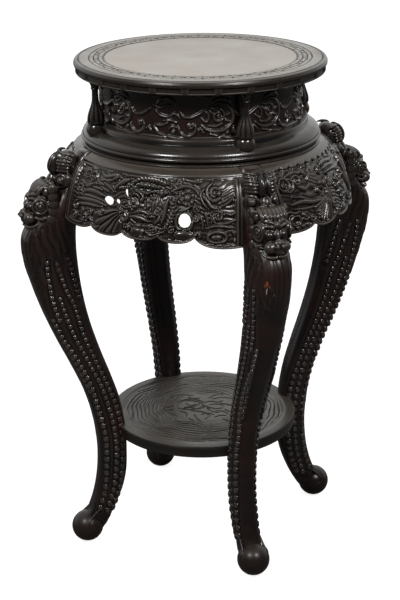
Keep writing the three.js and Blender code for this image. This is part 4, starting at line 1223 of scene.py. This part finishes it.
def leg_beads(form):
    """The rows of beads that stand in the channels on both sides of a leg."""
    points, faces = [], []
    for row in BEAD_ROWS:
        line = smooth_line(row, 6)
        run = run_along(line)
        reached = 0.0
        while reached <= run[-1]:
            place = point_along(line, run, reached)
            course = point_along(line, run, reached + 3) - point_along(line, run, reached - 3)
            length = float(np.interp(place[1], [150, 300, 450], [13.0, 12.0, 10.4]))
            reached += length
            level, share = form.find(place)
            half, width = form.half[level], form.width[level] / 2
            reach = np.linalg.norm(half)
            out = (1 - abs(share) ** LEG_ROUND) ** (1 / LEG_ROUND)
            for hand in (1, -1):
                outwards = math.copysign(abs(share) ** (LEG_ROUND - 1), share) / reach
                normal = np.array([outwards * half[0] / reach, hand * out ** (LEG_ROUND - 1) / width,
                                   outwards * half[1] / reach])
                normal /= np.linalg.norm(normal)
                along = np.array([course[0], 0, course[1]]) / np.linalg.norm(course)
                along -= normal * (along @ normal)
                along /= np.linalg.norm(along)
                seat = np.array([place[0], hand * width * out, place[1]]) - 1.3 * normal
                faces += bead_faces(len(points))
                points += bead(seat, along, np.cross(normal, along), normal, length)
    piece = shell("leg_beads", np.array(points), faces)
    layer = piece.data.attributes.new("shade_and_wear", "FLOAT", "POINT")
    layer.data.foreach_set("value", np.array(BEAD_SHADE_AND_WEAR * (len(points) // len(BEAD_SHADE_AND_WEAR)), np.float32))
    return piece


class Modelling:
    """Lumps, ribs and rings to be joined into one piece. The hand is 1, or -1 for what mirrors it across
    the leg."""

    def __init__(self):
        self.parts, self.hand = [], 1

    def lump(self, centre, sizes, tilt=0):
        """Adds an ellipsoid that may lean in the leg's plane."""
        bpy.ops.mesh.primitive_uv_sphere_add(segments=28, ring_count=18, radius=1)
        piece = bpy.context.object
        x, y, z = centre
        piece.data.transform(Matrix.Translation((x * MM, y * self.hand * MM, z * MM))
                             @ Matrix.Rotation(math.radians(tilt), 4, "Y")
                             @ Matrix.Diagonal([s * MM for s in sizes] + [1]))
        self.parts.append(piece)

    def rib(self, points, radius, smooth=5):
        """Adds a round ridge along a line, thinner at its ends."""
        curve = bpy.data.curves.new("rib", "CURVE")
        curve.dimensions, curve.bevel_depth, curve.bevel_resolution, curve.use_fill_caps = "3D", 1, 3, True
        line = smooth_line([(x, y * self.hand, z) for x, y, z in points], smooth)
        spline = curve.splines.new("POLY")
        spline.points.add(len(line) - 1)
        for k, place in enumerate(line):
            share = abs(2 * k / (len(line) - 1) - 1)
            spline.points[k].co = (*(place * MM), 1)
            spline.points[k].radius = radius * MM * (1 - 0.45 * share ** 3)
        select_only(new_object("rib", curve))
        bpy.ops.object.convert(target="MESH")
        self.parts.append(bpy.context.object)

    def ring(self, centre, radius, facing, thick):
        """Adds a round ring that faces a direction in degrees from straight outwards."""
        a = math.radians(facing)
        across = self.hand * np.array([-math.sin(a), math.cos(a), 0])
        self.rib([np.array(centre) + radius * (across * math.cos(t) + np.array([0, 0, 1]) * math.sin(t))
                  for t in np.linspace(0, 2 * math.pi, 11)], thick, 3)


def crest_front(height):
    """The radius of the crest's front at a height."""
    return float(np.interp(height, [652, 665, 680, 690, 698], [250, 252, 249, 242, 232]))


def model_crest(clay):
    """The crest: a creased, glossy drop between two shells of curved ribs."""
    clay.lump((231, 0, 674), (17, 23, 23), tilt=-22)
    for clay.hand in (1, -1):
        clay.lump((247, 4.6, 677), (12, 5.6, 18.5), tilt=-27)
        for k in range(6):
            z = 667 + 4.9 * k
            front = crest_front(z)
            clay.rib([(front - 3, 9, z), (front - 3, 15.5, z + 1.5), (front - 9, 22, z + 2),
                      (front - 18, 25.5, z)], 2.5)
        # a ball in a ring at the foot of each shell
        clay.lump((236, 17, 652), (11, 10, 13))
        clay.ring((244, 17.5, 652), 9.6, 42, 2.5)
        clay.lump((245, 18, 652), (6.6, 6.4, 6.4))
        # the folds between the crest and the mask
        clay.rib([(262, 0, 642), (263, 6, 648.5), (258, 12.5, 646), (252, 15, 639)], 2.8)
    clay.lump((252, 0, 650), (12, 10, 14), tilt=-20)


EYE = (292.5, 10.2, 613)


def model_mask(clay):
    """The mask: skull, brow, goggle eyes, a great round muzzle, curls, a ruff and locks of mane."""
    clay.lump((271, 0, 611), (26, 26, 33), tilt=-10)
    for clay.hand in (1, -1):
        clay.lump((297, 11.0, 595.5), (10, 10.5, 9.2))
        clay.lump(EYE, (7.8, 7.6, 7.6))
        clay.ring((288, 10.6, 613), 9.2, 14, 1.7)
        clay.rib([(295, 2, 623.5), (292.5, 10, 626.5), (285, 18.5, 625), (278, 23, 619)], 2.4)
        clay.rib([(292, 4, 631), (288, 12, 633), (280, 19, 631)], 2.4)
        # the lips round the dark mouth, and a nostril
        clay.rib([(304, 1, 582), (301, 10, 580.5), (294, 18, 582), (285, 23, 588)], 2.5)
        clay.lump((309, 4.6, 599), (3.2, 3.4, 3.0))
        # concentric curls on the cheek and the ear over them
        clay.lump((279, 19, 616), (13, 8.5, 16))
        clay.ring((283, 25.5, 616), 11.8, 78, 1.9)
        clay.ring((283.5, 26.5, 616), 6.2, 78, 1.7)
        clay.lump((283.5, 26.5, 616), (3.2, 2.6, 3.2))
        clay.rib([(292, 23, 600), (284, 27.5, 596), (275, 28, 600)], 2.4)
        clay.lump((270, 20, 637), (7, 7, 7))
        clay.ring((270, 23, 638), 6.6, 55, 2.3)
        # the scalloped ruff behind a gap
        for k, (r, z) in enumerate(((262, 642), (262, 630), (262, 618), (263, 606), (266, 595))):
            clay.lump((r, 26.6 + 0.3 * k, z), (8.0, 4.4, 8.6))
            clay.ring((r, 28.4 + 0.3 * k, z), 4.6, 88, 1.3)
        # beard
        for place in ((297, 5, 574), (291, 13, 574), (282, 20, 578)):
            clay.lump(place, (4.4, 4.4, 5.4))
    clay.hand = 1
    # the nose, the muzzle's middle, the bridge, a boss on the brow and the jaw
    clay.lump((303, 0, 603), (6.8, 8.4, 6.0))
    clay.lump((300, 0, 593), (8.4, 9.0, 9.0))
    clay.lump((295, 0, 612), (8, 4, 10), tilt=-20)
    clay.lump((294.5, 0, 629), (4.8, 4.8, 4.8))
    clay.lump((286, 0, 579), (15, 19, 9.5), tilt=10)
    # locks of the mane swept up and back from the brow
    for side in (-17, -11, -5.5, 0, 5.5, 11, 17):
        back = (side / 17) ** 2
        clay.rib([(289 - 5 * back, side, 632), (285.5 - 5 * back, side * 1.06, 640),
                  (277 - 5 * back, side * 1.1, 646), (267 - 3 * back, side * 1.1, 648)], 3.4)


def beast_head():
    """The beast mask on a leg's knee and the shell-shaped crest over it, carved from one lump of wood."""
    clay = Modelling()
    model_crest(clay)
    model_mask(clay)
    head = joined("beast_head", clay.parts)
    modified(head, "REMESH", mode="VOXEL", voxel_size=1.05 * MM)
    modified(head, "CORRECTIVE_SMOOTH", iterations=3, factor=0.5, use_only_smooth=True)
    head.data.shade_smooth()
    mark_shade_and_wear(head, 6, 0.5)
    # The eyes and the drop keep their dark gloss: nothing is rubbed off them, they are darkened about halfway
    # to the colour of the painted shade in the cuts, and they carry less of the dust and painted sheen.
    place = np.zeros(len(head.data.vertices) * 3)
    head.data.vertices.foreach_get("co", place)
    x, y, z = place.reshape(-1, 3).T / MM
    y = np.abs(y)
    eye = (x - EYE[0]) ** 2 + (y - EYE[1]) ** 2 + (z - EYE[2]) ** 2 < 8.3 ** 2
    drop = (x > 233) & (y < 8.2) & (z > 658) & (z < 700)
    shade_and_wear = head.data.attributes["shade_and_wear"]
    level = np.zeros(len(x))
    shade_and_wear.data.foreach_get("value", level)
    level[eye | drop] = np.maximum(level[eye | drop], 0.68)
    shade_and_wear.data.foreach_set("value", level)
    return head


def ball_foot():
    """The ball under a leg, cut flat where it stands, with the leg's end curling over it."""
    bpy.ops.mesh.primitive_uv_sphere_add(segments=56, ring_count=36, radius=27 * MM,
                                         location=(217 * MM, 0, 26.5 * MM))
    clay = Modelling()
    clay.parts.append(bpy.context.object)
    place_in_mesh(clay.parts[0])
    cut_flat(clay.parts[0], 0.1, clear_inner=True)
    for clay.hand in (1, -1):
        clay.rib([(196, 17.5, 64), (208, 18.3, 54), (216, 19.6, 46), (221, 22.6, 39.5),
                  (219, 24.6, 33), (213, 24.8, 31), (210.5, 24.2, 36)], 2.0)
    foot = joined("ball_foot", clay.parts)
    foot.data.shade_smooth()
    mark_shade_and_wear(foot, 3, 0.8)
    return foot


POST_WIDTH = 23


def leg_post():
    """The square post behind the waist, with a knuckle that joins it to the leg."""
    parts = []
    for low, high, inner, outer in ((655.5, 805.5, 128, 151), (655.5, 692.8, 128, 184)):
        bpy.ops.mesh.primitive_cube_add(size=1)
        piece = bpy.context.object
        piece.data.transform(Matrix.Translation(((inner + outer) / 2 * MM, 0, (low + high) / 2 * MM))
                             @ Matrix.Diagonal(((outer - inner) * MM, POST_WIDTH * MM, (high - low) * MM, 1)))
        modified(piece, "BEVEL", width=1.2 * MM, segments=2)
        parts.append(piece)
    return joined("leg_post", parts)


form = LegForm()
leg_pieces = (("leg_carved", leg_body(form), reddened), ("leg_beads", leg_beads(form), rubbed),
              ("beast_head", beast_head(), carved), ("ball_foot", ball_foot(), footed),
              ("leg_post", leg_post(), plain))
for title, piece, material in leg_pieces:
    set_round(piece, title, material, "leg", LEG_PLACES)

# ---------------------------------------------------------------- the plain CAD nodes

for name, piece in nodes.items():
    piece.data.materials.clear()
    inner = name.startswith(("top_batten", "top_frame_spline", "collar_dowel", "shelf_dowel"))
    piece.data.materials.append(panel_finish if name == "top_panel" else bare if inner else plain)

# ---------------------------------------------------------------- camera, lamps and ground

# The lens, the place and the turn come from fitting the photo's ellipses.
camera = new_object("camera", bpy.data.cameras.new("camera"))
camera.data.lens = 89.96
camera.location = (0.9264, -2.1920, 1.2993)
bearing, tilt, roll = (Matrix.Rotation(math.radians(degrees), 3, axis)
                       for degrees, axis in ((23, "Z"), (69.51, "X"), (-0.46, "Z")))
camera.rotation_euler = (bearing @ tilt @ roll).to_euler()
bpy.context.scene.camera = camera


def softbox(name, azimuth, elevation, distance, size, power):
    """A square lamp that faces the stand's middle."""
    lamp = new_object(name, bpy.data.lights.new(name, "AREA"))
    lamp.data.size, lamp.data.energy = size, power
    turned_to = (Matrix.Rotation(math.radians(azimuth + 90), 4, "Z")
                 @ Matrix.Rotation(math.radians(90 - elevation), 4, "X"))
    lamp.matrix_world = (Matrix.Translation((0, 0, 0.45)) @ turned_to
                         @ Matrix.Translation((0, 0, distance)))


softbox("left_softbox", -103, 42, 2.4, 0.42, 33)
softbox("right_softbox", -33, 42, 2.4, 0.42, 33)
softbox("back_softbox", 113, 34, 2.8, 2.2, 2)

bpy.ops.mesh.primitive_plane_add(size=12)
floor = bpy.context.object
floor.name = "floor"
paper = bpy.data.materials.new("white_paper_sweep")
paper.use_nodes = True
sheet_shader = paper.node_tree.nodes["Principled BSDF"]
sheet_shader.inputs["Roughness"].default_value = 0.9
sheet_shader.inputs["Emission Color"].default_value = (1, 1, 1, 1)
seen = node(paper.node_tree, "ShaderNodeLightPath").outputs["Is Camera Ray"]
# The camera sees white paper; the wood is shown a dimmer floor, as the photo's room seems to have had.
sheet_colour = node(paper.node_tree, "ShaderNodeMix", {"Factor": seen, 6: linear("5b5855"),
                                                       7: linear("a9a7a4")}, data_type="RGBA").outputs[2]
paper.node_tree.links.new(sheet_colour, sheet_shader.inputs["Base Color"])
glow = node(paper.node_tree, "ShaderNodeMath", {0: seen, 1: 0.88}, operation="MULTIPLY")
paper.node_tree.links.new(glow.outputs[0], sheet_shader.inputs["Emission Strength"])
floor.data.materials.append(paper)

world = bpy.data.worlds.new("studio")
bpy.context.scene.world = world
world.use_nodes = True
tree = world.node_tree
backdrop = tree.nodes["Background"]
backdrop.inputs["Color"].default_value = (1, 1, 1, 1)
seen = node(tree, "ShaderNodeLightPath").outputs["Is Camera Ray"]
# The paper behind the stand and to its left is white, and the room in front of it is dim.
way = node(tree, "ShaderNodeTexCoord").outputs["Generated"]
behind = node(tree, "ShaderNodeVectorMath", {0: way, 1: (-0.522, 0.835, 0.174)}, operation="DOT_PRODUCT")
room = node(tree, "ShaderNodeMapRange", {"Value": behind.outputs["Value"], "From Min": -0.15,
                                         "From Max": 0.45, "To Min": 0.09, "To Max": 0.9})
level = node(tree, "ShaderNodeMapRange", {"Value": seen, "To Min": room.outputs["Result"], "To Max": 1.0})
tree.links.new(level.outputs["Result"], backdrop.inputs["Strength"])
bpy.context.scene.view_settings.view_transform = "Standard"
